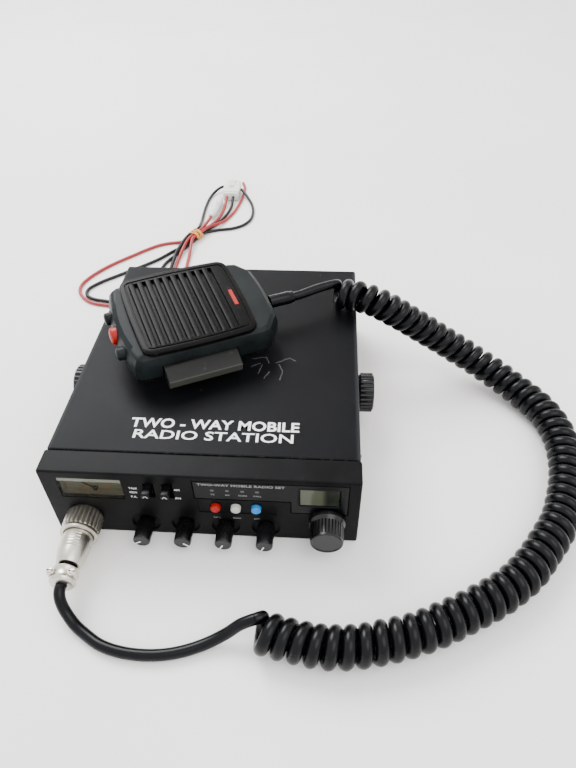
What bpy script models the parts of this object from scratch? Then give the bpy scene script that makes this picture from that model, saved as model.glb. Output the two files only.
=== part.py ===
"""A mobile two-way radio set with its hand microphone, curly cord and power lead.

Frame: +Z up, the front panel faces -Y, the set's own left is -X.
The origin is the centre of the set's underside, on the surface that it stands on.
All values are metres.
"""
import math

import bmesh
import bpy
from mathutils import Matrix, Vector

# ---------------------------------------------------------------- driving dimensions
WIDTH = 0.150                # front bezel, side to side
HEIGHT = 0.0463              # set, underside to top
DEPTH = 0.172                # set, front panel to rear panel
GAP = 0.0003                 # air kept between two pieces that touch

BEZEL_DEPTH = 0.0134
BEZEL_WALL = 0.0022
SHEET = 0.0010               # cover steel
FRAME_WALL = 0.0015          # chassis steel
COVER_STEP = 0.0005          # bezel stands this proud of the covers at each side
COVER_SPLIT = 0.0230         # height where the two covers meet

KNOB_PITCH = 0.0198
KNOB_X = 0.0005              # middle of the row of four
KNOB_Z = 0.0090
KNOB_R = 0.00425
KNOB_LENGTH = 0.0110
KNOB_RECESS_R = 0.0070
KNOB_RECESS = 0.0010
SHAFT_R = 0.0030
SHAFT_LENGTH = 0.0215        # from the panel's face inwards
POT_R = 0.0070
POT_DEPTH = 0.0090
BUSH_R = 0.0038

CHANNEL_X = 0.0598
CHANNEL_Z = 0.0177
CHANNEL_R = 0.0077
CHANNEL_SKIRT_R = 0.0089
CHANNEL_LENGTH = 0.0133

METER_X = -0.0514
METER_Z = 0.0346
METER_W = 0.0306
METER_H = 0.0144
NEEDLE_REACH = 0.0096
NEEDLE_REST = math.radians(52.0)   # lean to the left of upright, power off

PLATE_LEFT = -0.0027         # indicator plate
PLATE_RIGHT = 0.0693
PLATE_TOP = 0.0433
PLATE_STEP_X = 0.0426
PLATE_STEP_Z = 0.0304
PLATE_LOW = 0.0220
PLATE_DEPTH = 0.0010
LCD_X = 0.0560
LCD_Z = 0.0341
LCD_W = 0.0186
LCD_H = 0.0119

LEVER_X = (-0.0235, -0.0146)
LEVER_Z = 0.0383
LEVER_W = 0.0042
LEVER_T = 0.0028
LEVER_REACH = 0.0062
LEVER_TRAVEL = 0.0066

BUTTON_X = (0.0067, 0.0164, 0.0261)
BUTTON_Z = 0.0242
BUTTON_R = 0.0024
BUTTON_REACH = 0.0022
BUTTON_PANEL = (0.0374, 0.0094, 0.0004)    # width, height, depth of the shallow recess

SOCKET_X = -0.0585
SOCKET_Z = 0.0135
SOCKET_R = 0.0078
NUT_R = 0.0092
NUT_LENGTH = 0.0118
SHELL_R = 0.0071
PLUG_TAPER = 0.0285          # distances out from the panel's face
PLUG_NECK = 0.0300
PLUG_END = 0.0380
CABLE_R = 0.0026             # microphone cable
COIL_R = 0.0094              # curly cord, outside

SCREW_R = 0.0110             # side thumbscrews
SCREW_T = 0.0085
SCREW_Y = -0.0050
SCREW_Z = 0.0250
SCREW_SHANK = 0.0025

MIC_RISE = 0.0282            # middle of the grille's face, over the top cover
MIC_PLACE = (-0.0175, 0.0067, HEIGHT + MIC_RISE)
MIC_LEAN = (math.radians(9.0), math.radians(2.0), math.radians(27.25))
MIC_TOP_Z = -0.0030          # front shell's face under the grille
MIC_SPLIT_Z = -0.0155
MIC_BACK_Z = -0.0220
MIC_WALL = 0.0020
MIC_HALF_WIDTH = 0.0300
GRILLE_T = 0.0027
GRILLE_X = (-0.0312, 0.0312)
GRILLE_HALF = 0.0292
SLOT_COUNT = 11
SLOT_PITCH = 0.0046
SLOT_WIDTH = 0.0018
SLOT_FIRST_X = -0.0262
PTT_X = (-0.0220, 0.0175)
PTT_Z = (-0.0172, -0.0098)
PTT_REACH = 0.0092           # past the shell's side
MIC_BUTTON_Z = -0.0100
MIC_BUTTON_Y = (0.0122, -0.0010, -0.0142)
MIC_BUTTON_R = (0.0034, 0.0046, 0.0034)
STUD_H = 0.0050
RELIEF_R = 0.0037
RELIEF_LENGTH = 0.0145
RELIEF_Y = -0.0020
RELIEF_Z = -0.0110

WIRE_R = 0.0011              # power wires
GLAND_X = -0.0500
GLAND_Z = 0.0120
ANTENNA_X = 0.0500
ANTENNA_Z = 0.0230
JACK_X = 0.0100
JACK_Z = 0.0160
SPEAKER_X = 0.0
SPEAKER_FROM_REAR = 0.0460
SPEAKER_Y = DEPTH / 2 - SPEAKER_FROM_REAR
SPEAKER_R = 0.0310
FUSE_R = 0.0042
BAND_PLACE = (-0.0543, 0.2011)
BAND_TURN = math.radians(-26.6)
BAND_LENGTH = 0.0110

FRONT_Y = -DEPTH / 2
REAR_Y = DEPTH / 2
FRAME_Y = FRONT_Y + BEZEL_DEPTH + 2 * GAP
PANEL_BACK = FRAME_Y + FRAME_WALL

# ---------------------------------------------------------------- finishes
FINISHES = {
    "cover_paint": ((0.020, 0.022, 0.026), 0.42, 0.0),
    "panel_plastic": ((0.016, 0.016, 0.017), 0.45, 0.0),
    "knob_plastic": ((0.012, 0.012, 0.013), 0.35, 0.0),
    "zinc_steel": ((0.62, 0.62, 0.60), 0.38, 1.0),
    "nickel": ((0.72, 0.69, 0.62), 0.25, 1.0),
    "meter_glass": ((0.30, 0.32, 0.26), 0.10, 0.0),
    "dial_card": ((0.55, 0.50, 0.38), 0.60, 0.0),
    "display_glass": ((0.16, 0.18, 0.13), 0.12, 0.0),
    "button_red": ((0.62, 0.05, 0.03), 0.40, 0.0),
    "button_white": ((0.62, 0.62, 0.58), 0.40, 0.0),
    "button_blue": ((0.05, 0.28, 0.55), 0.40, 0.0),
    "mic_plastic": ((0.035, 0.042, 0.043), 0.50, 0.0),
    "grille_plastic": ((0.014, 0.013, 0.013), 0.42, 0.0),
    "lever_plastic": ((0.060, 0.064, 0.060), 0.45, 0.0),
    "cable_rubber": ((0.013, 0.013, 0.014), 0.40, 0.0),
    "wire_red": ((0.50, 0.04, 0.04), 0.45, 0.0),
    "wire_black": ((0.018, 0.018, 0.020), 0.45, 0.0),
    "nylon_white": ((0.75, 0.75, 0.72), 0.45, 0.0),
    "band_rubber": ((0.72, 0.40, 0.06), 0.55, 0.0),
    "board_green": ((0.03, 0.16, 0.06), 0.50, 0.0),
    "cone_paper": ((0.05, 0.05, 0.05), 0.80, 0.0),
}

for old in list(bpy.data.objects):
    bpy.data.objects.remove(old, do_unlink=True)

PARTS = bpy.data.collections.new("mobile_transceiver")
CUTTERS = bpy.data.collections.new("cutters")
bpy.context.scene.collection.children.link(PARTS)
bpy.context.scene.collection.children.link(CUTTERS)


# ---------------------------------------------------------------- helpers
def finish(obj, kind):
    """Give an object its own Principled material."""
    colour, roughness, metallic = FINISHES[kind]
    material = bpy.data.materials.new(obj.name + "_finish")
    material.use_nodes = True
    shader = material.node_tree.nodes["Principled BSDF"]
    shader.inputs["Base Color"].default_value = (*colour, 1.0)
    shader.inputs["Roughness"].default_value = roughness
    shader.inputs["Metallic"].default_value = metallic
    obj.data.materials.append(material)
    return obj


def link(name, data, kind=None):
    """Make an object from mesh or curve data; without a finish it is a cutter."""
    obj = bpy.data.objects.new(name, data)
    if kind is None:
        CUTTERS.objects.link(obj)
        obj.display_type = "WIRE"
        obj.hide_render = True
    else:
        PARTS.objects.link(obj)
        finish(obj, kind)
    return obj


def place(obj, location, turn=(0.0, 0.0, 0.0), parent=None):
    """Put an object at its place, in its parent's frame when it has one."""
    obj.location = location
    obj.rotation_euler = turn
    obj.parent = parent
    return obj


AIMS = {
    "Z": (0.0, 0.0, 0.0),
    "-Z": (math.pi, 0.0, 0.0),
    "-Y": (math.pi / 2, 0.0, 0.0),
    "Y": (-math.pi / 2, 0.0, 0.0),
    "X": (0.0, math.pi / 2, 0.0),
    "-X": (0.0, -math.pi / 2, 0.0),
}


def bevel(obj, width, segments=2, angle=40.0):
    """Round the sharp edges."""
    mod = obj.modifiers.new("round", "BEVEL")
    mod.width = width
    mod.segments = segments
    mod.limit_method = "ANGLE"
    mod.angle_limit = math.radians(angle)
    return obj


def box(name, low, high, kind=None, round_by=0.0, segments=2, parent=None):
    """A block between two corners; its origin is its centre."""
    low, high = Vector(low), Vector(high)
    mesh = bpy.data.meshes.new(name)
    bm = bmesh.new()
    bmesh.ops.create_cube(bm, size=1.0)
    bmesh.ops.scale(bm, vec=high - low, verts=bm.verts)
    bm.to_mesh(mesh)
    bm.free()
    obj = place(link(name, mesh, kind), (low + high) / 2, parent=parent)
    if round_by:
        bevel(obj, round_by, segments)
    return obj


def rod(name, radius, length, centre, aim, kind=None, sides=24, parent=None):
    """A plain cylinder; its origin is its centre and its axis follows aim."""
    mesh = bpy.data.meshes.new(name)
    bm = bmesh.new()
    bmesh.ops.create_cone(bm, cap_ends=True, segments=sides, radius1=radius, radius2=radius, depth=length)
    bm.to_mesh(mesh)
    bm.free()
    return place(link(name, mesh, kind), centre, AIMS[aim], parent)


def turned(name, profile, origin, aim, kind=None, steps=28, closed=False, parent=None):
    """A turned piece. The profile is (radius, height) and runs down the outer side."""
    mesh = bpy.data.meshes.new(name)
    count = len(profile)
    edges = [(i, i + 1) for i in range(count - 1)]
    if closed:
        edges.append((count - 1, 0))
    mesh.from_pydata([(radius, 0.0, height) for radius, height in profile], edges, [])
    obj = place(link(name, mesh, kind), origin, AIMS[aim], parent)
    mod = obj.modifiers.new("turn", "SCREW")
    mod.axis = "Z"
    mod.angle = 2 * math.pi
    mod.steps = steps
    mod.render_steps = steps
    mod.use_merge_vertices = True
    mod.merge_threshold = 0.00001
    mod.use_smooth_shade = True
    return obj


def slab(name, outline, thickness, centre, aim, kind=None, parent=None):
    """A flat outline with a thickness, made a mesh so that it can be cut."""
    curve = bpy.data.curves.new(name + "_outline", "CURVE")
    curve.dimensions = "2D"
    curve.fill_mode = "BOTH"
    curve.extrude = thickness / 2
    spline = curve.splines.new("POLY")
    spline.points.add(len(outline) - 1)
    for point, (x, y) in zip(spline.points, outline):
        point.co = (x, y, 0.0, 1.0)
    spline.use_cyclic_u = True
    flat = bpy.data.objects.new(name + "_outline", curve)
    CUTTERS.objects.link(flat)
    bpy.context.view_layer.update()
    graph = bpy.context.evaluated_depsgraph_get()
    mesh = bpy.data.meshes.new_from_object(flat.evaluated_get(graph))
    bpy.data.objects.remove(flat)
    bm = bmesh.new()
    bm.from_mesh(mesh)
    bmesh.ops.remove_doubles(bm, verts=bm.verts, dist=0.000001)
    bmesh.ops.recalc_face_normals(bm, faces=bm.faces)
    bm.to_mesh(mesh)
    bm.free()
    return place(link(name, mesh, kind), centre, AIMS[aim], parent)


def loft(name, rings, kind=None, parent=None):
    """A closed solid through rings that have the same number of points."""
    bm = bmesh.new()
    rows = [[bm.verts.new(point) for point in ring] for ring in rings]
    count = len(rows[0])
    for low, high in zip(rows, rows[1:]):
        for i in range(count):
            j = (i + 1) % count
            bm.faces.new((low[i], low[j], high[j], high[i]))
    bm.faces.new(list(reversed(rows[0])))
    bm.faces.new(rows[-1])
    bmesh.ops.recalc_face_normals(bm, faces=bm.faces)
    mesh = bpy.data.meshes.new(name)
    bm.to_mesh(mesh)
    bm.free()
    return place(link(name, mesh, kind), (0.0, 0.0, 0.0), parent=parent)


def combine(target, other, operation):
    """Add or cut a hidden solid."""
    mod = target.modifiers.new(operation.lower(), "BOOLEAN")
    mod.operation = operation
    mod.solver = "EXACT"
    mod.object = other
    return target


def cut(target, *others):
    for other in others:
        combine(target, other, "DIFFERENCE")
    return target


def add(target, *others):
    for other in others:
        combine(target, other, "UNION")
    return target


def smooth_route(points, spacing):
    """Even points on a smooth curve through the chosen ones."""
    pts = [Vector(point) for point in points]
    pts = [2 * pts[0] - pts[1]] + pts + [2 * pts[-1] - pts[-2]]
    fine = []
    for a, b, c, d in zip(pts, pts[1:], pts[2:], pts[3:]):
        ka = math.sqrt((b - a).length)
        kb = ka + math.sqrt((c - b).length)
        kc = kb + math.sqrt((d - c).length)
        for i in range(24):
            t = ka + (kb - ka) * i / 24
            p1 = a * (ka - t) / ka + b * t / ka
            p2 = b * (kb - t) / (kb - ka) + c * (t - ka) / (kb - ka)
            p3 = c * (kc - t) / (kc - kb) + d * (t - kb) / (kc - kb)
            q1 = p1 * (kb - t) / kb + p2 * t / kb
            q2 = p2 * (kc - t) / (kc - ka) + p3 * (t - ka) / (kc - ka)
            fine.append(q1 * (kb - t) / (kb - ka) + q2 * (t - ka) / (kb - ka))
    fine.append(pts[-2])
    total = sum((b - a).length for a, b in zip(fine, fine[1:]))
    count = max(2, round(total / spacing))
    step = total / count
    even = [fine[0]]
    walked = 0.0
    for a, b in zip(fine, fine[1:]):
        part = (b - a).length
        while len(even) < count and walked + part >= step * len(even):
            even.append(a + (b - a) * (step * len(even) - walked) / part)
        walked += part
    even.append(fine[-1])
    return even


def tube(name, points, radius, kind, spacing, resolution=2, parent=None):
    """A round cable along a route, its ends cut square."""
    curve = bpy.data.curves.new(name, "CURVE")
    curve.dimensions = "3D"
    curve.bevel_depth = radius
    curve.bevel_resolution = resolution
    curve.use_fill_caps = True
    route = smooth_route(points, spacing)
    lead = 0.2 * spacing
    route.insert(1, route[0] + lead * (Vector(points[1]) - route[0]).normalized())
    route.insert(-1, route[-1] + lead * (Vector(points[-2]) - route[-1]).normalized())
    spline = curve.splines.new("POLY")
    spline.points.add(len(route) - 1)
    for point, where in zip(spline.points, route):
        point.co = (*where, 1.0)
    return place(link(name, curve, kind), (0.0, 0.0, 0.0), parent=parent)


# ---------------------------------------------------------------- chassis and covers
def knob_columns():
    """X of each of the four knobs, left to right."""
    return [KNOB_X + KNOB_PITCH * (i - 1.5) for i in range(4)]


def build_chassis():
    """An open steel frame: front wall, side rails and rear panel in one."""
    half = WIDTH / 2 - COVER_STEP - SHEET - GAP
    low, high = SHEET + GAP, HEIGHT - GAP - SHEET - GAP
    frame = box("chassis", (-half, FRAME_Y, low), (half, REAR_Y, high), "zinc_steel")
    inner = half - FRAME_WALL
    well = box("chassis_well", (-inner, PANEL_BACK, -0.01), (inner, REAR_Y - FRAME_WALL, 0.06))
    cut(frame, well)
    for i, x in enumerate(knob_columns()):
        cut(frame, rod(f"pot_hole_{i}", BUSH_R + GAP, 0.01, (x, FRAME_Y, KNOB_Z), "Y"))
    cut(frame, rod("channel_hole", BUSH_R + GAP, 0.01, (CHANNEL_X, FRAME_Y, CHANNEL_Z), "Y"))
    cut(frame, rod("socket_hole", SOCKET_R + 0.002, 0.01, (SOCKET_X, FRAME_Y, SOCKET_Z), "Y"))
    cut(frame, box("lever_hole", (-0.030, FRAME_Y - 0.005, 0.027), (-0.008, PANEL_BACK + 0.005, 0.042)))
    for side in (-1, 1):
        x = side * half
        cut(frame, rod(f"thumb_hole_{side}", SCREW_SHANK + GAP, 0.01, (x, SCREW_Y, SCREW_Z), "X"))
    cut(frame, rod("antenna_hole", 0.0081, 0.01, (ANTENNA_X, REAR_Y, ANTENNA_Z), "Y"))
    cut(frame, rod("jack_hole", 0.0035, 0.01, (JACK_X, REAR_Y, JACK_Z), "Y"))
    cut(frame, rod("gland_hole", 0.0045, 0.01, (GLAND_X, REAR_Y, GLAND_Z), "Y"))


def build_covers():
    """Two folded steel covers that meet along the sides."""
    half = WIDTH / 2 - COVER_STEP
    front, rear = FRONT_Y + BEZEL_DEPTH + GAP, REAR_Y
    top = HEIGHT - GAP
    upper = box("top_cover", (-half, front, COVER_SPLIT + GAP), (half, rear, top), "cover_paint", 0.0012, 2)
    hollow = box("top_cover_inside", (SHEET - half, front - 0.01, 0.0), (half - SHEET, rear + 0.01, top - SHEET))
    cut(upper, hollow)
    lower = box("bottom_cover", (-half, front, 0.0), (half, rear, COVER_SPLIT), "cover_paint", 0.0010, 2)
    hollow = box("bottom_cover_inside", (SHEET - half, front - 0.01, SHEET), (half - SHEET, rear + 0.01, 0.06))
    cut(lower, hollow)
    slots = 7
    for i in range(slots):
        x = SPEAKER_X + (i - (slots - 1) / 2) * 0.007
        reach = 0.024 * math.sqrt(1.0 - ((i - (slots - 1) / 2) / 4.6) ** 2)
        low = (x - 0.0013, SPEAKER_Y - reach, -0.005)
        cut(lower, box(f"speaker_slot_{i}", low, (x + 0.0013, SPEAKER_Y + reach, 0.005)))
    for side in (-1, 1):
        hole = rod(f"thumb_way_{side}", SCREW_SHANK + 2 * GAP, 0.01, (side * half, SCREW_Y, SCREW_Z), "X")
        cut(upper, hole)
        cut(lower, hole)


def build_bezel():
    """The moulded front with its windows, slots and recesses."""
    half = WIDTH / 2
    back = FRONT_Y + BEZEL_DEPTH
    bezel = box("front_bezel", (-half, FRONT_Y, 0.0), (half, back, HEIGHT), "panel_plastic", 0.0011, 2)
    inner = half - BEZEL_WALL
    room = box("bezel_room", (-inner, FRONT_Y + BEZEL_WALL, BEZEL_WALL), (inner, back + 0.01, HEIGHT - BEZEL_WALL))
    cut(bezel, room)
    near, far = FRONT_Y - 0.005, FRONT_Y + BEZEL_WALL + 0.002
    for i, x in enumerate(knob_columns()):
        recess = rod(f"knob_recess_{i}", KNOB_RECESS_R, 0.01, (x, FRONT_Y + KNOB_RECESS - 0.005, KNOB_Z), "Y")
        hole = rod(f"knob_hole_{i}", BUSH_R, 0.02, (x, FRONT_Y, KNOB_Z), "Y")
        cut(bezel, recess, hole)
    cut(bezel, rod("channel_way", BUSH_R, 0.02, (CHANNEL_X, FRONT_Y, CHANNEL_Z), "Y"))
    cut(bezel, rod("socket_way", SOCKET_R + GAP, 0.02, (SOCKET_X, FRONT_Y, SOCKET_Z), "Y", sides=32))
    wide, tall = METER_W / 2, METER_H / 2
    cut(bezel, box("meter_way", (METER_X - wide, near, METER_Z - tall), (METER_X + wide, far, METER_Z + tall)))
    for i, x in enumerate(LEVER_X):
        side = LEVER_W / 2 + 0.0004
        low = LEVER_Z - LEVER_TRAVEL - LEVER_T / 2 - 0.0005
        high = LEVER_Z + LEVER_T / 2 + 0.0005
        cut(bezel, box(f"lever_slot_{i}", (x - side, near, low), (x + side, far, high)))
    width, height, deep = BUTTON_PANEL
    middle = BUTTON_X[1] + 0.0007
    low = (middle - width / 2, near, BUTTON_Z - height / 2)
    cut(bezel, box("button_recess", low, (middle + width / 2, FRONT_Y + deep, BUTTON_Z + height / 2)))
    for i, x in enumerate(BUTTON_X):
        cut(bezel, rod(f"button_way_{i}", BUTTON_R + GAP, 0.02, (x, FRONT_Y, BUTTON_Z), "Y"))
    thick = 0.02
    middle_y = FRONT_Y + PLATE_DEPTH + GAP - thick / 2
    cut(bezel, slab("plate_recess", plate_outline(GAP), thick, (0.0, middle_y, 0.0), "-Y"))
    wide, tall = LCD_W / 2 + GAP, LCD_H / 2 + GAP
    cut(bezel, box("lcd_way", (LCD_X - wide, near, LCD_Z - tall), (LCD_X + wide, far, LCD_Z + tall)))


def plate_outline(grow):
    """The L-shaped indicator plate, in X and Z, grown all round."""
    return [
        (PLATE_LEFT - grow, PLATE_TOP + grow),
        (PLATE_LEFT - grow, PLATE_STEP_Z - grow),
        (PLATE_STEP_X - grow, PLATE_STEP_Z - grow),
        (PLATE_STEP_X - grow, PLATE_LOW - grow),
        (PLATE_RIGHT + grow, PLATE_LOW - grow),
        (PLATE_RIGHT + grow, PLATE_TOP + grow),
    ]


def build_display():
    """Indicator plate, display window and display module."""
    plate = slab("indicator_plate", plate_outline(-GAP), PLATE_DEPTH,
                 (0.0, FRONT_Y + PLATE_DEPTH / 2, 0.0), "-Y", "panel_plastic")
    wide, tall = LCD_W / 2, LCD_H / 2
    near = FRONT_Y - 0.003
    low, high = (LCD_X - wide, near, LCD_Z - tall), (LCD_X + wide, near + 0.01, LCD_Z + tall)
    cut(plate, box("plate_window", low, high))
    wide, tall = wide - GAP, tall - GAP
    low = (LCD_X - wide, FRONT_Y + 0.0003, LCD_Z - tall)
    box("lcd_window", low, (LCD_X + wide, FRONT_Y + BEZEL_WALL, LCD_Z + tall), "display_glass")
    low = (LCD_X - 0.0110, FRONT_Y + BEZEL_WALL + GAP, LCD_Z - 0.0062)
    box("lcd_module", low, (LCD_X + 0.0110, FRONT_Y + BEZEL_WALL + 0.0050, LCD_Z + 0.0085), "panel_plastic", 0.0004)


def build_meter():
    """Window, movement with its dial, and the needle on its pivot."""
    wide, tall = METER_W / 2 - GAP, METER_H / 2 - GAP
    window_back = FRONT_Y + 0.0018
    box("meter_window", (METER_X - wide, FRONT_Y + 0.0003, METER_Z - tall),
        (METER_X + wide, window_back, METER_Z + tall), "meter_glass")
    wide, tall = METER_W / 2 + 0.0012, METER_H / 2 + 0.0014
    face = FRONT_Y + BEZEL_WALL + GAP
    body = box("meter_movement", (METER_X - wide, face, METER_Z - tall),
               (METER_X + wide, FRAME_Y - GAP, METER_Z + tall), "dial_card")
    wide, tall = METER_W / 2 - 0.0004, METER_H / 2 - 0.0004
    dial = face + 0.0030
    cut(body, box("dial_well", (METER_X - wide, face - 0.01, METER_Z - tall), (METER_X + wide, dial, METER_Z + tall)))
    pivot = (METER_X, dial - 0.0013, METER_Z - METER_H / 2 + 0.0022)
    needle = rod("meter_needle", 0.0013, 0.0012, pivot, "Y", "knob_plastic", sides=16)
    pointer = box("needle_pointer", (-0.00025, -0.0003, 0.0), (0.00025, 0.0003, NEEDLE_REACH))
    pointer.location = pivot
    pointer.data.transform(Matrix.Translation((0.0, 0.0, NEEDLE_REACH / 2)))
    pointer.rotation_euler = (0.0, -NEEDLE_REST, 0.0)
    add(needle, pointer)


def build_knobs():
    """Four small knobs on their controls and the large channel knob."""
    names = ("volume", "squelch", "tone", "microphone_gain")
    foot = 0.0004 - KNOB_RECESS
    for name, x in zip(names, knob_columns()):
        place_at = (x, FRONT_Y, KNOB_Z)
        profile = [(0.0, KNOB_LENGTH), (KNOB_R - 0.0004, KNOB_LENGTH), (KNOB_R, KNOB_LENGTH - 0.0004),
                   (KNOB_R, foot), (SHAFT_R, foot), (SHAFT_R, -SHAFT_LENGTH), (0.0, -SHAFT_LENGTH)]
        turned(name + "_knob", profile, place_at, "-Y", "knob_plastic")
        control(name + "_control", place_at, POT_R)
    place_at = (CHANNEL_X, FRONT_Y, CHANNEL_Z)
    profile = [(0.0, CHANNEL_LENGTH), (CHANNEL_R - 0.0005, CHANNEL_LENGTH), (CHANNEL_R, CHANNEL_LENGTH - 0.0005),
               (CHANNEL_R + 0.0002, 0.0042), (CHANNEL_SKIRT_R, 0.0030), (CHANNEL_SKIRT_R, 0.0005),
               (SHAFT_R, 0.0005), (SHAFT_R, -SHAFT_LENGTH), (0.0, -SHAFT_LENGTH)]
    turned("channel_knob", profile, place_at, "-Y", "knob_plastic", steps=36)
    control("channel_switch", place_at, 0.0086)


def control(name, place_at, radius):
    """A rotary control: bushing through the frame, body behind it, open bore."""
    bore = SHAFT_R + GAP
    nose = -(FRAME_Y - FRONT_Y) + 0.0040
    shoulder = -(PANEL_BACK - FRONT_Y) - GAP
    profile = [(bore, nose), (BUSH_R, nose), (BUSH_R, shoulder), (radius, shoulder),
               (radius, shoulder - POT_DEPTH), (bore, shoulder - POT_DEPTH)]
    turned(name, profile, place_at, "-Y", "zinc_steel", steps=20, closed=True)


def build_levers():
    """Two sliding levers and the switch block behind them."""
    names = ("mode_lever", "band_lever")
    inner = FRAME_Y + 0.0002
    for name, x in zip(names, LEVER_X):
        low = (x - LEVER_W / 2, FRONT_Y - LEVER_REACH, LEVER_Z - LEVER_T / 2)
        high = (x + LEVER_W / 2, inner, LEVER_Z + LEVER_T / 2)
        box(name, low, high, "knob_plastic", 0.0004, 1)
    low = (LEVER_X[0] - 0.0045, inner + GAP, 0.0275)
    box("slide_switches", low, (LEVER_X[1] + 0.0045, inner + 0.0070, 0.0415), "zinc_steel", 0.0004, 1)


def build_buttons():
    """Three round push buttons with domed ends and one switch block."""
    names = ("red_button", "white_button", "blue_button")
    kinds = ("button_red", "button_white", "button_blue")
    inner = FRONT_Y + 0.0080
    length = inner - FRONT_Y
    for name, kind, x in zip(names, kinds, BUTTON_X):
        profile = [(0.0, BUTTON_REACH), (BUTTON_R * 0.5, BUTTON_REACH - 0.00015),
                   (BUTTON_R * 0.86, BUTTON_REACH - 0.0006), (BUTTON_R, BUTTON_REACH - 0.0012),
                   (BUTTON_R, -length), (0.0, -length)]
        turned(name, profile, (x, FRONT_Y, BUTTON_Z), "-Y", kind, steps=20)
    low = (BUTTON_X[0] - 0.0035, inner + 0.0018, BUTTON_Z - 0.0040)
    box("button_switches", low, (BUTTON_X[2] + 0.0035, FRAME_Y - GAP, BUTTON_Z + 0.0045), "panel_plastic", 0.0003, 1)


# ---------------------------------------------------------------- microphone connector
def build_connector():
    """Panel socket, coupling nut, plug shell and cable clamp, all on one axis."""
    axis = (SOCKET_X, FRONT_Y, SOCKET_Z)
    inner = -(BEZEL_WALL + GAP)
    profile = [(0.0, 0.0015), (0.0060, 0.0015), (0.0060, 0.0085), (SOCKET_R, 0.0085), (SOCKET_R, inner),
               (0.0095, inner), (0.0095, inner - 0.0020), (SOCKET_R, inner - 0.0020), (SOCKET_R, -0.0105),
               (0.0, -0.0105)]
    turned("mic_socket", profile, axis, "-Y", "nickel", steps=32)
    base, end = 0.0006, 0.0006 + NUT_LENGTH
    profile = [(SOCKET_R + 0.0004, base), (SOCKET_R + 0.0004, end - 0.0014), (SHELL_R + GAP, end - 0.0014),
               (SHELL_R + GAP, end), (NUT_R - 0.0002, end), (NUT_R, end - 0.0004), (NUT_R, end - 0.0022),
               (NUT_R - 0.0004, end - 0.0026), (NUT_R - 0.0004, base)]
    turned("plug_coupling_nut", profile, axis, "-Y", "nickel", steps=36, closed=True)
    collar = end - 0.0014 - GAP
    profile = [(0.0, PLUG_NECK), (0.0046, PLUG_NECK), (0.0046, PLUG_TAPER), (0.0056, PLUG_TAPER - 0.0004),
               (0.0064, PLUG_TAPER - 0.0050), (SHELL_R, PLUG_TAPER - 0.0095), (SHELL_R, collar),
               (SOCKET_R, collar), (SOCKET_R, 0.0085 + GAP), (0.0, 0.0085 + GAP)]
    turned("plug_shell", profile, axis, "-Y", "nickel", steps=28)
    clamp_start, clamp_end = PLUG_NECK + GAP, PLUG_END
    profile = [(0.0, clamp_end), (0.0048, clamp_end), (0.0060, clamp_end - 0.0010), (0.0062, clamp_start + 0.0012),
               (0.0057, clamp_start), (0.0, clamp_start)]
    clamp = turned("plug_clamp", profile, axis, "-Y", "nickel", steps=28)
    middle = (clamp_start + clamp_end) / 2
    for side in (-1, 1):
        where = (SOCKET_X + side * 0.0052, FRONT_Y - middle, SOCKET_Z + 0.0030)
        add(clamp, rod(f"clamp_ear_{side}", 0.0019, 0.0062, where, "Z", sides=14))


# ---------------------------------------------------------------- microphone
def mic_ring(inset, height, points_a_side=9):
    """The microphone's plan outline, drawn in, at one height."""
    half = MIC_HALF_WIDTH - inset
    left, end = -0.0400 + inset, 0.0465 - inset
    bulge = 0.0045
    ring = []
    for i in range(points_a_side):
        y = half * 0.93 * (1 - 2 * i / (points_a_side - 1))
        ring.append((left + bulge * (y / half) ** 2, y))
    ring.append((-0.0330 + inset, -half))
    ring.append((0.0330, -half))
    ring.append((0.0380 - inset * 0.6, -half + 0.0012))
    for i in range(5):
        y = 0.0200 * (i / 2 - 1) * half / MIC_HALF_WIDTH
        ring.append((end - 0.0016 * (y / 0.02) ** 2, y))
    ring.append((0.0380 - inset * 0.6, half - 0.0012))
    ring.append((0.0330, half))
    ring.append((-0.0330 + inset, half))
    return [Vector((x, y, height)) for x, y in ring]


def build_mic_shells(frame):
    """Front and back halves of the microphone's case."""
    upper = [mic_ring(0.0, MIC_SPLIT_Z), mic_ring(0.0003, -0.0080), mic_ring(0.0018, -0.0045),
             mic_ring(0.0040, MIC_TOP_Z)]
    front = loft("mic_front_shell", upper, "mic_plastic", frame)
    inside = [mic_ring(MIC_WALL, MIC_SPLIT_Z - 0.001), mic_ring(MIC_WALL + 0.0004, -0.0080),
              mic_ring(MIC_WALL + 0.0040, MIC_TOP_Z - MIC_WALL)]
    cut(front, loft("mic_front_inside", inside, parent=frame))
    lower = [mic_ring(0.0060, MIC_BACK_Z), mic_ring(0.0022, MIC_BACK_Z + 0.0016),
             mic_ring(0.0005, MIC_BACK_Z + 0.0042), mic_ring(0.0001, MIC_SPLIT_Z - GAP)]
    back = loft("mic_back_shell", lower, "mic_plastic", frame)
    inside = [mic_ring(MIC_WALL + 0.0060, MIC_BACK_Z + MIC_WALL), mic_ring(MIC_WALL + 0.0005, MIC_BACK_Z + 0.0046),
              mic_ring(MIC_WALL, MIC_SPLIT_Z + 0.001)]
    cut(back, loft("mic_back_inside", inside, parent=frame))
    slot = box("ptt_slot", (PTT_X[0] - 0.0006, -0.036, PTT_Z[0] - 0.0004),
               (PTT_X[1] + 0.0006, -0.022, PTT_Z[1] + 0.0004), parent=frame)
    cut(front, slot)
    cut(back, slot)
    for i, (y, radius) in enumerate(zip(MIC_BUTTON_Y, MIC_BUTTON_R)):
        hole = rod(f"mic_button_way_{i}", radius + GAP, 0.016, (-0.037, y, MIC_BUTTON_Z), "X", parent=frame)
        cut(front, hole)
    cut(front, rod("mic_sound_way", 0.0065, 0.01, (-0.004, 0.0, MIC_TOP_Z), "Z", parent=frame))
    cut(front, rod("mic_cable_way", 0.0031, 0.01, (0.0465, RELIEF_Y, RELIEF_Z), "X", parent=frame))


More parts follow.
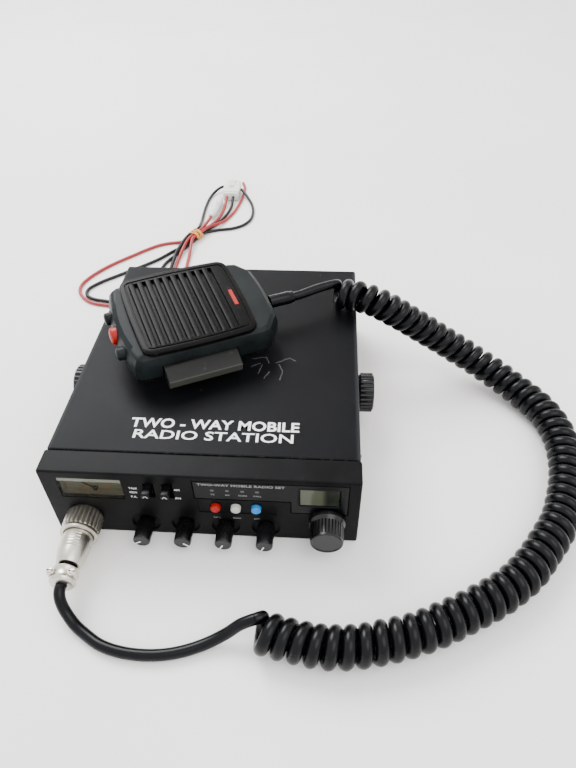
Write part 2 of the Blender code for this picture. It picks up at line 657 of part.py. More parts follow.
def build_grille(frame):
    """The ribbed plate over the microphone capsule."""
    left, right = GRILLE_X
    low, high = (left, -GRILLE_HALF, -GRILLE_T), (right, GRILLE_HALF, 0.0)
    grille = box("mic_grille", low, high, "grille_plastic", 0.0009, 2, frame)
    for i in range(SLOT_COUNT):
        x = SLOT_FIRST_X + SLOT_PITCH * i
        low = (x - SLOT_WIDTH / 2, -GRILLE_HALF + 0.0050, -0.01)
        high = (x + SLOT_WIDTH / 2, GRILLE_HALF - 0.0050, 0.01)
        cut(grille, box(f"grille_slot_{i}", low, high, parent=frame))


def build_mic_controls(frame):
    """Push-to-talk lever on its pivot and the three end buttons."""
    side = -MIC_HALF_WIDTH
    pivot = Vector((PTT_X[1] - 0.0020, side + 0.0040, 0.0))
    low, high = PTT_Z
    outline = [(side + 0.0022, high), (side - 0.0010, high), (side - PTT_REACH, high - 0.0028),
               (side - PTT_REACH, low), (side + 0.0022, low)]
    length = PTT_X[1] - PTT_X[0]
    lever = slab("ptt_bar", outline, length, (0.0, 0.0, 0.0), "Z", "lever_plastic", frame)
    to_side = Matrix(((0, 0, 1, 0), (1, 0, 0, 0), (0, 1, 0, 0), (0, 0, 0, 1)))
    lever.data.transform(to_side)
    lever.data.transform(Matrix.Translation(Vector(((PTT_X[0] + PTT_X[1]) / 2, 0.0, 0.0)) - pivot))
    lever.location = pivot
    bevel(lever, 0.0006, 2)
    names = ("mic_up_button", "mic_red_button", "mic_down_button")
    kinds = ("mic_plastic", "button_red", "mic_plastic")
    for name, kind, y, radius in zip(names, kinds, MIC_BUTTON_Y, MIC_BUTTON_R):
        reach = 0.0030
        profile = [(0.0, reach), (radius * 0.5, reach - 0.0002), (radius * 0.85, reach - 0.0009),
                   (radius, reach - 0.0018), (radius, -0.0055), (0.0, -0.0055)]
        turned(name, profile, (-0.0395, y, MIC_BUTTON_Z), "-X", kind, steps=20, parent=frame)


def build_mic_inside(frame):
    """Capsule, board, hang-up stud and strain relief."""
    rod("mic_capsule", 0.0050, 0.0060, (-0.004, 0.0, -0.0090), "Z", "zinc_steel", 20, frame)
    box("mic_board", (-0.028, -0.0215, -0.0165), (0.030, 0.0215, -0.0150), "board_green", parent=frame)
    top = MIC_BACK_Z - GAP
    profile = [(0.0, top), (0.0045, top), (0.0045, top - 0.0020), (0.0068, top - 0.0022), (0.0068, top - 0.0040),
               (0.0058, top - STUD_H), (0.0, top - STUD_H)]
    turned("hang_up_stud", profile, (-0.002, 0.0, 0.0), "Z", "nickel", parent=frame, steps=24)
    profile = [(0.0, RELIEF_LENGTH), (RELIEF_R - 0.0008, RELIEF_LENGTH), (RELIEF_R, 0.0008), (RELIEF_R, 0.0),
               (0.0, 0.0)]
    where = (0.0465 + 0.0008, RELIEF_Y, RELIEF_Z)
    turned("mic_strain_relief", profile, where, "X", "cable_rubber", steps=20, parent=frame)


# ---------------------------------------------------------------- thumbscrews, inside and rear
def build_thumbscrews():
    """Bracket screws with faceted heads, one at each side."""
    for side, name in ((-1, "thumbscrew_left"), (1, "thumbscrew_right")):
        face = WIDTH / 2 + 0.0006
        aim = "X" if side > 0 else "-X"
        profile = [(0.0, SCREW_T), (SCREW_R - 0.0012, SCREW_T), (SCREW_R, SCREW_T - 0.0010), (SCREW_R, 0.0008),
                   (SCREW_R - 0.0008, 0.0), (SCREW_SHANK, 0.0), (SCREW_SHANK, -0.0055), (0.0, -0.0055)]
        turned(name, profile, (side * face, SCREW_Y, SCREW_Z), aim, "knob_plastic", steps=20)


def build_inside():
    """Main board over the speaker."""
    box("main_board", (-0.066, -0.045, 0.0268), (0.066, REAR_Y - 0.006, 0.0284), "board_green")
    base = SHEET + GAP
    profile = [(0.0, base + 0.0220), (0.0150, base + 0.0220), (0.0150, base + 0.0120),
               (SPEAKER_R - 0.004, base + 0.0050), (SPEAKER_R, base + 0.0030), (SPEAKER_R, base),
               (SPEAKER_R - 0.003, base), (0.0100, base + 0.0080), (0.0, base + 0.0080)]
    turned("speaker", profile, (SPEAKER_X, SPEAKER_Y, 0.0), "Z", "cone_paper", steps=28)


def build_rear():
    """Antenna socket, speaker jack and the power lead's gland."""
    profile = [(0.0, 0.0120), (0.0044, 0.0120), (0.0044, 0.0155), (0.0078, 0.0155), (0.0078, 0.0026),
               (0.0092, 0.0026), (0.0092, GAP), (0.0076, GAP), (0.0076, -0.0060), (0.0, -0.0060)]
    turned("antenna_socket", profile, (ANTENNA_X, REAR_Y, ANTENNA_Z), "Y", "nickel", steps=24)
    profile = [(0.0, -0.0040), (0.0018, -0.0040), (0.0018, 0.0034), (0.0032, 0.0034), (0.0032, 0.0022),
               (0.0052, 0.0022), (0.0052, GAP), (0.0032, GAP), (0.0032, -0.0070), (0.0, -0.0070)]
    turned("speaker_jack", profile, (JACK_X, REAR_Y, JACK_Z), "Y", "nickel", steps=20)
    profile = [(0.0, 0.0060), (0.0038, 0.0060), (0.0056, 0.0015), (0.0056, GAP), (0.0042, GAP), (0.0042, -0.0040),
               (0.0, -0.0040)]
    turned("power_gland", profile, (GLAND_X, REAR_Y, GLAND_Z), "Y", "cable_rubber", steps=20)


# ---------------------------------------------------------------- cords
MIC_CORD_ROUTE = [
    (-0.0585, -0.1243, 0.0135), (-0.0585, -0.1262, 0.0135), (-0.0580, -0.1288, 0.0122),
    (-0.0568, -0.1312, 0.0093),
    (-0.0548, -0.1334, 0.0064), (-0.0506, -0.1371, 0.0036), (-0.0445, -0.1410, 0.0027),
    (-0.0372, -0.1450, 0.0027), (-0.0285, -0.1474, 0.0027), (-0.0188, -0.1483, 0.0027),
    (-0.0100, -0.1478, 0.0027), (-0.0019, -0.1461, 0.0027), (0.0080, -0.1426, 0.0034),
    (0.0170, -0.1388, 0.0062), (0.0240, -0.1362, 0.0110), (0.0297, -0.1348, 0.0150),
]
COIL_ROUTE = [
    (0.0306, -0.1383, 0.0095), (0.0461, -0.1417, 0.0095), (0.0592, -0.1435, 0.0095),
    (0.0721, -0.1428, 0.0095), (0.0865, -0.1395, 0.0095), (0.1002, -0.1352, 0.0095),
    (0.1128, -0.1294, 0.0095), (0.1255, -0.1226, 0.0095), (0.1391, -0.1144, 0.0095),
    (0.1514, -0.1042, 0.0095), (0.1631, -0.0900, 0.0095), (0.1732, -0.0755, 0.0095),
    (0.1817, -0.0557, 0.0095), (0.1866, -0.0360, 0.0095), (0.1870, -0.0171, 0.0095),
    (0.1825, 0.0005, 0.0095), (0.1731, 0.0150, 0.0098), (0.1600, 0.0272, 0.0130),
    (0.1396, 0.0370, 0.0215), (0.1165, 0.0410, 0.0345), (0.0960, 0.0412, 0.0478),
    (0.0864, 0.0414, 0.0532), (0.0780, 0.0425, 0.0558), (0.0705, 0.0445, 0.0558),
    (0.0606, 0.0458, 0.0558),
]
MIC_TAIL_ROUTE = [
    (0.0380, 0.0363, 0.0611), (0.0408, 0.0388, 0.0613), (0.0450, 0.0428, 0.0612),
    (0.0500, 0.0455, 0.0608), (0.0550, 0.0464, 0.0606), (0.0600, 0.0463, 0.0606),
]


def build_mic_cord():
    """The straight ends and the curly stretch of the microphone cord."""
    tube("mic_cord_straight", MIC_CORD_ROUTE, CABLE_R, "cable_rubber", 0.0060, 2)
    tube("mic_cord_coil", COIL_ROUTE, COIL_R, "cable_rubber", 0.0120, 4)
    tube("mic_cord_tail", MIC_TAIL_ROUTE, CABLE_R, "cable_rubber", 0.0040, 2)


SET_RED_ROUTE = [
    (-0.0485, 0.0923, 0.0120), (-0.0485, 0.0950, 0.0119), (-0.0505, 0.1050, 0.0092),
    (-0.0545, 0.1170, 0.0056), (-0.0585, 0.1300, 0.0024), (-0.0615, 0.1420, 0.0013),
    (-0.0626, 0.1550, 0.0013), (-0.0624, 0.1650, 0.0016), (-0.0616, 0.1740, 0.0029),
    (-0.0602, 0.1840, 0.0044), (-0.0579, 0.1939, 0.0051), (-0.0543, 0.2011, 0.0051), (-0.0507, 0.2083, 0.0051),
    (-0.0490, 0.2140, 0.0050), (-0.0475, 0.2210, 0.0048), (-0.0464, 0.2270, 0.0046),
    (-0.0461, 0.2306, 0.0045),
]
SET_BLACK_ROUTE = [
    (-0.0515, 0.0923, 0.0120), (-0.0516, 0.0950, 0.0119), (-0.0540, 0.1045, 0.0095),
    (-0.0583, 0.1160, 0.0059), (-0.0625, 0.1290, 0.0026), (-0.0655, 0.1420, 0.0013),
    (-0.0662, 0.1550, 0.0013), (-0.0659, 0.1640, 0.0022), (-0.0652, 0.1730, 0.0039),
    (-0.0636, 0.1820, 0.0044), (-0.0605, 0.1952, 0.0051), (-0.0569, 0.2024, 0.0051), (-0.0533, 0.2096, 0.0051),
    (-0.0532, 0.2180, 0.0036), (-0.0537, 0.2280, 0.0017), (-0.0543, 0.2430, 0.0013),
    (-0.0543, 0.2560, 0.0013), (-0.0535, 0.2690, 0.0014), (-0.0513, 0.2790, 0.0020),
    (-0.0475, 0.2857, 0.0034), (-0.0435, 0.2879, 0.0047), (-0.0414, 0.2880, 0.0048),
]
LEAD_RED_ROUTE = [
    (-0.0368, 0.2676, 0.0046), (-0.0368, 0.2640, 0.0042), (-0.0373, 0.2540, 0.0018),
    (-0.0386, 0.2400, 0.0013), (-0.0418, 0.2275, 0.0013), (-0.0458, 0.2203, 0.0013),
    (-0.0502, 0.2148, 0.0015), (-0.0533, 0.2096, 0.0023), (-0.0569, 0.2024, 0.0023), (-0.0598, 0.1966, 0.0023),
    (-0.0652, 0.1925, 0.0016), (-0.0730, 0.1911, 0.0013), (-0.0829, 0.1869, 0.0013),
    (-0.1014, 0.1697, 0.0013), (-0.1171, 0.1526, 0.0013), (-0.1268, 0.1369, 0.0013),
    (-0.1297, 0.1269, 0.0013), (-0.1281, 0.1178, 0.0013), (-0.1216, 0.1093, 0.0013),
    (-0.1143, 0.1047, 0.0013), (-0.1043, 0.1025, 0.0013), (-0.0920, 0.1010, 0.0013),
    (-0.0760, 0.1005, 0.0013), (-0.0630, 0.1030, 0.0013), (-0.0556, 0.1110, 0.0013),
    (-0.0530, 0.1240, 0.0013), (-0.0534, 0.1420, 0.0013), (-0.0543, 0.1600, 0.0013),
    (-0.0548, 0.1740, 0.0022), (-0.0553, 0.1850, 0.0043), (-0.0553, 0.1926, 0.0051), (-0.0517, 0.1998, 0.0051),
    (-0.0481, 0.2070, 0.0051), (-0.0443, 0.2145, 0.0044), (-0.0386, 0.2210, 0.0030),
    (-0.0330, 0.2310, 0.0015), (-0.0285, 0.2430, 0.0013), (-0.0256, 0.2560, 0.0013),
    (-0.0237, 0.2700, 0.0013), (-0.0229, 0.2840, 0.0013), (-0.0236, 0.2950, 0.0013),
    (-0.0262, 0.3035, 0.0013),
]
LEAD_BLACK_ROUTE = [
    (-0.0310, 0.2676, 0.0046), (-0.0310, 0.2640, 0.0042), (-0.0312, 0.2560, 0.0019),
    (-0.0330, 0.2440, 0.0013), (-0.0365, 0.2320, 0.0013), (-0.0412, 0.2220, 0.0013),
    (-0.0467, 0.2140, 0.0015), (-0.0507, 0.2083, 0.0023), (-0.0543, 0.2011, 0.0023), (-0.0579, 0.1939, 0.0023),
    (-0.0615, 0.1880, 0.0015), (-0.0660, 0.1820, 0.0013), (-0.0705, 0.1765, 0.0013),
    (-0.0775, 0.1669, 0.0013), (-0.0882, 0.1561, 0.0013), (-0.1021, 0.1440, 0.0013),
    (-0.1175, 0.1300, 0.0013), (-0.1229, 0.1215, 0.0013), (-0.1215, 0.1140, 0.0013),
    (-0.1155, 0.1098, 0.0013), (-0.1070, 0.1078, 0.0013), (-0.0950, 0.1062, 0.0013),
    (-0.0845, 0.1085, 0.0013), (-0.0770, 0.1180, 0.0013), (-0.0737, 0.1350, 0.0013),
    (-0.0729, 0.1540, 0.0013), (-0.0710, 0.1620, 0.0013), (-0.0672, 0.1700, 0.0013),
    (-0.0625, 0.1795, 0.0013), (-0.0585, 0.1870, 0.0016), (-0.0553, 0.1926, 0.0023), (-0.0517, 0.1998, 0.0023),
    (-0.0481, 0.2070, 0.0023), (-0.0442, 0.2108, 0.0015), (-0.0360, 0.2142, 0.0013),
    (-0.0257, 0.2168, 0.0013), (-0.0171, 0.2226, 0.0013), (-0.0118, 0.2320, 0.0013),
    (-0.0107, 0.2460, 0.0013), (-0.0132, 0.2600, 0.0014), (-0.0168, 0.2690, 0.0020),
    (-0.0210, 0.2760, 0.0040), (-0.0252, 0.2822, 0.0052),
]


def build_power_lead():
    """Two wires from the set, the lead plugged to them, and the band round the bundle."""
    tube("set_wire_red", SET_RED_ROUTE, WIRE_R, "wire_red", 0.0060)
    tube("set_wire_black", SET_BLACK_ROUTE, WIRE_R, "wire_black", 0.0060)
    tube("lead_wire_red", LEAD_RED_ROUTE, WIRE_R, "wire_red", 0.0072)
    tube("lead_wire_black", LEAD_BLACK_ROUTE, WIRE_R, "wire_black", 0.0072)
    start, end = Vector((-0.0460, 0.2310, FUSE_R + 0.0002)), Vector((-0.0425, 0.2665, FUSE_R + 0.0002))
    length = (end - start).length
    profile = [(0.0, length), (FUSE_R - 0.0012, length), (FUSE_R, length - 0.0020), (FUSE_R, 0.0020),
               (FUSE_R - 0.0012, 0.0), (0.0, 0.0)]
    holder = turned("fuse_holder", profile, start, "Z", "nylon_white", steps=20)
    holder.rotation_euler = (end - start).to_track_quat("Z", "Y").to_euler()
    box("lead_connector", (-0.0410, 0.2680, 0.0003), (-0.0260, 0.2950, 0.0093), "nylon_white", 0.0008, 2)
    wide, tall, wall = 0.0044, 0.0058, 0.0008
    half = BAND_LENGTH / 2
    middle = (BAND_PLACE[0], BAND_PLACE[1], wall + tall / 2)
    low, high = (-wide - wall, -half, -tall / 2 - wall), (wide + wall, half, tall / 2 + wall)
    band = box("wire_band", low, high, "band_rubber", 0.0020, 2)
    low, high = (-wide, -0.02, -tall / 2), (wide, 0.02, tall / 2)
    inside = box("band_inside", low, high, round_by=0.0010)
    for obj in (band, inside):
        place(obj, middle, (0.0, 0.0, BAND_TURN))
    cut(band, inside)


build_chassis()
build_covers()
build_bezel()
build_display()
build_meter()
build_knobs()
build_levers()
build_buttons()
build_connector()

mic_frame = bpy.data.objects.new("mic_frame", None)
PARTS.objects.link(mic_frame)
place(mic_frame, MIC_PLACE, MIC_LEAN)
build_mic_shells(mic_frame)
build_grille(mic_frame)
build_mic_controls(mic_frame)
build_mic_inside(mic_frame)

build_thumbscrews()
build_inside()
build_rear()
build_mic_cord()
build_power_lead()
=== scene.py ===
# %% [markdown]
# # A mobile two-way radio, its hand microphone and its cords
#
# The radio is a shallow steel box with a moulded front. A microphone lies on top of it,
# joined to the front by a curly cord, and a power lead is bundled behind.
# The measured model is loaded first and gives every place and joint. This script dresses
# it: finer shapes where the eye rests, and a finish for every surface. Units are metres,
# +Z is up and the front faces -Y.

# %% Load the measured model
import math

import bmesh
import bpy
from mathutils import Euler, Matrix, Vector


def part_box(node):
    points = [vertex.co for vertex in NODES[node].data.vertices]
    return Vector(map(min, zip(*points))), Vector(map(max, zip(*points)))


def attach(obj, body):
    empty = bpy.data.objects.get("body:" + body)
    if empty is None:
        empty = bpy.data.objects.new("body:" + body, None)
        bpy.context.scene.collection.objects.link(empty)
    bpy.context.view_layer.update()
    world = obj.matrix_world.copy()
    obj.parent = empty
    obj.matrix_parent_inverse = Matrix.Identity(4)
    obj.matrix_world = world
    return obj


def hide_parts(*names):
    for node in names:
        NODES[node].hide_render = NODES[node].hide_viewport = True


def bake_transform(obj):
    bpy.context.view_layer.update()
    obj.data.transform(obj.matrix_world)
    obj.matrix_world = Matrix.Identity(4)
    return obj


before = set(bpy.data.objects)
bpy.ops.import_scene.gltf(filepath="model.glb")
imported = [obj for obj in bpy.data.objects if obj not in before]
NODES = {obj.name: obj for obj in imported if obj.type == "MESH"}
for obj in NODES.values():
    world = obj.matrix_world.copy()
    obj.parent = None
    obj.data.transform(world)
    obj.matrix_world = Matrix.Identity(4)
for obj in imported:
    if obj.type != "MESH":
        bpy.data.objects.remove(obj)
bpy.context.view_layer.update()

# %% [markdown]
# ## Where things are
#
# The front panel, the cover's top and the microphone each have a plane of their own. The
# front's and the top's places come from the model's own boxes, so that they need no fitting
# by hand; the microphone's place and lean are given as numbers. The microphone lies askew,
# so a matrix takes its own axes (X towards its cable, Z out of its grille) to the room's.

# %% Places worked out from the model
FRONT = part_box("front_bezel")[0][1]
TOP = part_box("top_cover")[1][2]
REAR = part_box("chassis")[1][1]
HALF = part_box("front_bezel")[1][0]
MIC_PLACE = Vector((-0.0175, 0.0067, 0.0745))
MIC_LEAN = Euler((math.radians(9.0), math.radians(2.0), math.radians(27.25)))
MIC = Matrix.Translation(MIC_PLACE) @ MIC_LEAN.to_matrix().to_4x4()
KNOB_NAMES = ("volume", "squelch", "tone", "microphone_gain")
KNOB_R = 0.00425
KNOB_X = [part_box(f"{word}_knob")[0][0] + KNOB_R for word in KNOB_NAMES]
KNOB_Z = 0.0090
CHANNEL_X, CHANNEL_Z = 0.0598, 0.0177
SOCKET = Vector((-0.0585, FRONT, 0.0135))
THUMBSCREW_Y, THUMBSCREW_Z = -0.0050, 0.0250
ANTENNA_X, ANTENNA_Z = 0.0500, 0.0230
JACK_X, JACK_Z = 0.0100, 0.0160
GLAND_X, GLAND_Z = -0.0500, 0.0120
print(f"front at {FRONT:.4f}, top at {TOP:.4f}, rear at {REAR:.4f}")


def out_of_front(x, z, y=FRONT):
    """A frame on the front panel: its Z points at the viewer, its Y points up."""
    return Matrix.Translation((x, y, z)) @ Matrix.Rotation(math.pi / 2, 4, "X")


# %% [markdown]
# ## Camera
#
# The set is seen from above its front, a little to its right, from a hand's distance. A
# fairly wide lens makes the front panel look broad and the back narrow. The camera comes
# first, because it decides how much of the cords is in view.

# %% Camera
view = bpy.data.cameras.new("view")
view.lens = 29.03
view.sensor_width = 36.0
view.clip_start = 0.01
camera = bpy.data.objects.new("view", view)
bpy.context.scene.collection.objects.link(camera)
camera.location = (0.0551, -0.2573, 0.2680)
camera.rotation_euler = tuple(math.radians(a) for a in (46.688, 0.796, 3.520))
bpy.context.scene.camera = camera
print("camera is", round(camera.location.length, 3), "m from the set's middle")

# %% [markdown]
# ## Shader expressions
#
# A finish is easier to read as arithmetic than as a web of nodes. `Value` wraps one socket,
# and its operators add Math nodes, so `0.4 + 0.1 * grain` does what it says. `Finish` makes
# a material and any other node that it needs with one method.


# %% Arithmetic on sockets
class Value:
    """One number, or one vector, inside a material."""

    def __init__(self, tree, socket):
        self.tree = tree
        self.socket = socket

    def maths(self, operation, *terms):
        node = self.tree.nodes.new("ShaderNodeMath")
        node.operation = operation
        for slot, term in zip(node.inputs, terms):
            fill(self.tree, slot, term)
        return Value(self.tree, node.outputs[0])

    def __add__(self, other):
        return self.maths("ADD", self, other)

    def __radd__(self, other):
        return self.maths("ADD", other, self)

    def __sub__(self, other):
        return self.maths("SUBTRACT", self, other)

    def __rsub__(self, other):
        return self.maths("SUBTRACT", other, self)

    def __mul__(self, other):
        return self.maths("MULTIPLY", self, other)

    def __rmul__(self, other):
        return self.maths("MULTIPLY", other, self)

    def __truediv__(self, other):
        return self.maths("DIVIDE", self, other)

    def __rtruediv__(self, other):
        return self.maths("DIVIDE", other, self)

    def __pow__(self, other):
        return self.maths("POWER", self, other)

    def __gt__(self, other):
        return self.maths("GREATER_THAN", self, other)

    def __lt__(self, other):
        return self.maths("LESS_THAN", self, other)

    def size(self):
        return self.maths("ABSOLUTE", self)

    def most(self, other):
        return self.maths("MAXIMUM", self, other)

    def least(self, other):
        return self.maths("MINIMUM", self, other)

    def ramp(self, low, high):
        """0 up to low, 1 from high, and a smooth rise between; high may be the smaller."""
        node = self.tree.nodes.new("ShaderNodeMapRange")
        node.interpolation_type = "SMOOTHSTEP"
        fill(self.tree, node.inputs["Value"], self)
        node.inputs["From Min"].default_value = min(low, high)
        node.inputs["From Max"].default_value = max(low, high)
        node.inputs["To Min"].default_value = 0.0 if low < high else 1.0
        node.inputs["To Max"].default_value = 1.0 if low < high else 0.0
        return Value(self.tree, node.outputs[0])


def fill(tree, slot, term):
    """Link a Value to a socket, or set a plain number there."""
    if isinstance(term, Value):
        tree.links.new(term.socket, slot)
    else:
        slot.default_value = term


# %% A finish
class Finish:
    """A Principled material that is written as expressions."""

    def __init__(self, name, colour, rough, metal=0.0, **even):
        self.material = bpy.data.materials.new(name)
        self.material.use_nodes = True
        self.tree = self.material.node_tree
        self.shader = self.tree.nodes["Principled BSDF"]
        self.paint("Base Color", (*colour, 1.0))
        self.paint("Roughness", rough)
        self.paint("Metallic", metal)
        for words, value in even.items():
            self.paint(words.replace("_", " ").title().replace("Ior", "IOR"), value)

    def paint(self, socket, value):
        fill(self.tree, self.shader.inputs[socket], value)
        return self

    def node(self, kind, settings=None, out=0, **values):
        """Any other node: its settings first, then its sockets by name."""
        made = self.tree.nodes.new(kind)
        for word, setting in (settings or {}).items():
            setattr(made, word, setting)
        for word, value in values.items():
            fill(self.tree, made.inputs[word.replace("_", " ")], value)
        return Value(self.tree, made.outputs[out])

    def spot(self, frame_matrix=None):
        """Where a point is, in the room's axes or in those of a matrix."""
        here = self.node("ShaderNodeTexCoord", out="Object")
        if frame_matrix is None:
            return here
        place, turn, _ = frame_matrix.decompose()
        return self.node("ShaderNodeMapping", {"vector_type": "TEXTURE"}, Vector=here,
                         Location=tuple(place), Rotation=tuple(turn.to_euler()))

    def axes(self, spot):
        return [self.node("ShaderNodeSeparateXYZ", out=i, Vector=spot) for i in range(3)]

    def noise(self, spot, scale, detail=2.0, rough=0.5):
        return self.node("ShaderNodeTexNoise", Vector=spot, Scale=scale, Detail=detail, Roughness=rough)

    def mix(self, factor, first, second):
        """A colour between two, each a colour or the result of another mix."""
        made = self.tree.nodes.new("ShaderNodeMix")
        made.data_type = "RGBA"
        fill(self.tree, made.inputs[0], factor)
        for slot, colour in ((made.inputs[6], first), (made.inputs[7], second)):
            fill(self.tree, slot, colour if isinstance(colour, Value) else (*colour, 1.0))
        return Value(self.tree, made.outputs[2])

    def dents(self, height, depth, strength=1.0):
        """Relief from a height of 0 to 1, depth metres deep."""
        made = self.tree.nodes.new("ShaderNodeBump")
        made.inputs["Strength"].default_value = strength
        made.inputs["Distance"].default_value = depth
        fill(self.tree, made.inputs["Height"], height)
        self.paint("Normal", Value(self.tree, made.outputs[0]))
        return self

    def specks(self, spot, scale, share, radius):
        """Scattered dots: 1 inside a dot. share of the cells have one."""
        cell = self.node("ShaderNodeTexVoronoi", Vector=spot, Scale=scale)
        tint = self.node("ShaderNodeTexVoronoi", out="Color", Vector=spot, Scale=scale)
        chosen = self.axes(tint)[0] > 1.0 - share
        return (cell < radius) * chosen

    def line(self, spot, start, end, width):
        """1 on a straight scratch between two points in X and Y."""
        run = Vector(end) - Vector(start)
        x, y, _ = self.axes(spot)
        dx, dy = x - start[0], y - start[1]
        along = (dx * run.x + dy * run.y) / run.length_squared
        along = along.most(0.0).least(1.0)
        off_x, off_y = dx - along * run.x, dy - along * run.y
        return (off_x * off_x + off_y * off_y) ** 0.5 < width


# %% [markdown]
# ## Finishes
#
# Three families make up the set: satin black enamel on folded steel, fine-grained black
# plastic, and plated metal. Each one gets a slow change of tone, a fine grain in its relief,
# and the dust and rubbing that a used set shows where hands and other things touch it. A
# paler band on the cover's side edges and on the talk bar's outer face is a painted highlight.

# %% Enamel on the covers
WOBBLE = 0.0016
SCRATCH_WIDTH = 0.00027
SCRATCHES = [
    ((0.0170, -0.0030), (0.0245, -0.0016)), ((0.0245, -0.0016), (0.0262, -0.0062)),
    ((0.0215, -0.0070), (0.0168, -0.0098)), ((0.0230, -0.0078), (0.0212, -0.0150)),
    ((0.0300, -0.0060), (0.0372, -0.0018)), ((0.0372, -0.0018), (0.0405, -0.0040)),
    ((0.0318, -0.0074), (0.0342, -0.0128)), ((0.0342, -0.0128), (0.0330, -0.0196)),
    ((0.0272, -0.0132), (0.0246, -0.0186)),
]


def cover_enamel():
    made = Finish("cover_enamel", (0.02, 0.02, 0.02), 0.4, Specular_IOR_Level=0.07)
    spot = made.spot()
    x, y, z = made.axes(spot)
    cloud = made.noise(spot, 28.0, 3.0)
    grain = made.noise(spot, 2600.0, 2.0)
    flat = made.mix(cloud.ramp(0.3, 0.7), (0.0014, 0.0016, 0.0021), (0.0026, 0.0029, 0.0037))
    # painted highlight: a paler band along the top's side edges, where the bends catch the light
    edge = (x.size()).ramp(HALF - 0.0032, HALF - 0.0010) * (z > TOP - 0.0030)
    edge_highlight_and_scuffs = made.mix(edge * 0.55, flat, (0.030, 0.032, 0.036))
    scuffed = y.ramp(FRONT + 0.0150, FRONT + 0.0134) * made.noise(spot, 700.0, 3.0).ramp(0.52, 0.66)
    edge_highlight_and_scuffs = made.mix(scuffed * 0.35, edge_highlight_and_scuffs, (0.06, 0.06, 0.06))
    wobble = made.node("ShaderNodeVectorMath", {"operation": "SCALE"}, Scale=WOBBLE,
                       Vector=made.node("ShaderNodeTexNoise", out="Color", Vector=spot, Scale=420.0))
    bent = made.node("ShaderNodeVectorMath", {"operation": "ADD"})
    fill(made.tree, bent.socket.node.inputs[0], spot)
    fill(made.tree, bent.socket.node.inputs[1], wobble)
    marks = None
    for start, end in SCRATCHES:
        ends = [(across + WOBBLE / 2, along + WOBBLE / 2) for across, along in (start, end)]
        mark = made.line(bent, *ends, SCRATCH_WIDTH)
        marks = mark if marks is None else marks.most(mark)
    marks = marks * (z > TOP - 0.0005)
    marked = made.mix(marks * 0.55, edge_highlight_and_scuffs, (0.105, 0.110, 0.115))
    dots = made.specks(spot, 150.0, 0.22, 0.045)
    marked = made.mix(dots * 0.45, marked, (0.14, 0.14, 0.135))
    made.paint("Base Color", marked)
    made.paint("Roughness", 0.36 + 0.16 * cloud + 0.10 * marks)
    return made.dents(grain + 0.4 * cloud, 0.00003, 0.35)


def black_plastic(name, tone, rough, dusty, shine, grain_scale=1900.0):
    """Moulded black plastic with a fine grain; dusty sets how much dust lies on it."""
    made = Finish(name, tone, rough, Specular_IOR_Level=shine)
    spot = made.spot()
    grain = made.noise(spot, grain_scale, 3.0)
    cloud = made.noise(spot, 60.0, 2.0)
    pale = tuple(1.7 * c + 0.0012 for c in tone)
    colour = made.mix(cloud.ramp(0.35, 0.7), tone, pale)
    dust = made.noise(spot, 380.0, 4.0, 0.7).ramp(0.60, 0.74)
    colour = made.mix(dust * dusty, colour, (0.060, 0.056, 0.050))
    made.paint("Base Color", colour)
    made.paint("Roughness", rough - 0.05 + 0.10 * cloud + 0.2 * dust * dusty)
    return made.dents(grain, 0.00004, 0.30)


def plated(name, tone, rough):
    """Nickel or zinc plate, clouded by handling, with fine marks round it."""
    made = Finish(name, tone, rough, 1.0)
    spot = made.spot()
    cloud = made.noise(spot, 190.0, 3.0)
    fine = made.noise(spot, 2400.0, 2.0)
    dull = tuple(0.80 * c for c in tone)
    made.paint("Base Color", made.mix(cloud.ramp(0.42, 0.72), tone, dull))
    made.paint("Roughness", rough - 0.03 + 0.10 * cloud.ramp(0.35, 0.8))
    return made.dents(fine, 0.00002, 0.25)


ENAMEL = cover_enamel()
BEZEL = black_plastic("bezel_plastic", (0.0014, 0.0015, 0.0017), 0.42, 0.08, 0.06)
PLATE = black_plastic("plate_plastic", (0.0013, 0.0014, 0.0017), 0.30, 0.05, 0.12)
KNOB = black_plastic("knob_plastic", (0.0014, 0.0014, 0.0016), 0.26, 0.14, 0.34)
SHELL = black_plastic("microphone_shell", (0.0038, 0.0054, 0.0058), 0.42, 0.14, 0.11, 1500.0)
GRILLE = black_plastic("grille_plastic", (0.0011, 0.0008, 0.0007), 0.33, 0.32, 0.08)
# painted shade: a near-black finish for the plug's neck and the screw slots, which lie in shade
PAINTED_SHADE = black_plastic("dark_void", (0.001, 0.001, 0.001), 0.8, 0.0, 0.05)
NICKEL = plated("nickel_plate", (0.60, 0.565, 0.50), 0.31)
ZINC = plated("zinc_plate", (0.42, 0.41, 0.375), 0.40)
print("finishes so far:", len(bpy.data.materials))


# %% Finishes of the small parts
def coloured(name, tone, rough=0.38, scale=220.0, depth=0.00002, tone_shift=0.10, **even):
    """Plain coloured plastic or rubber with a slow change of tone and a light grain."""
    made = Finish(name, tone, rough, **even)
    spot = made.spot()
    cloud = made.noise(spot, scale, 3.0)
    grey = tuple(c * 0.72 + 0.010 for c in tone)
    made.paint("Base Color", made.mix(cloud.ramp(0.45, 0.85) * (tone_shift * 4.0), tone, grey))
    made.paint("Roughness", rough - 0.04 + 0.12 * cloud)
    return made.dents(made.noise(spot, scale * 9.0, 2.0), depth, 0.25)


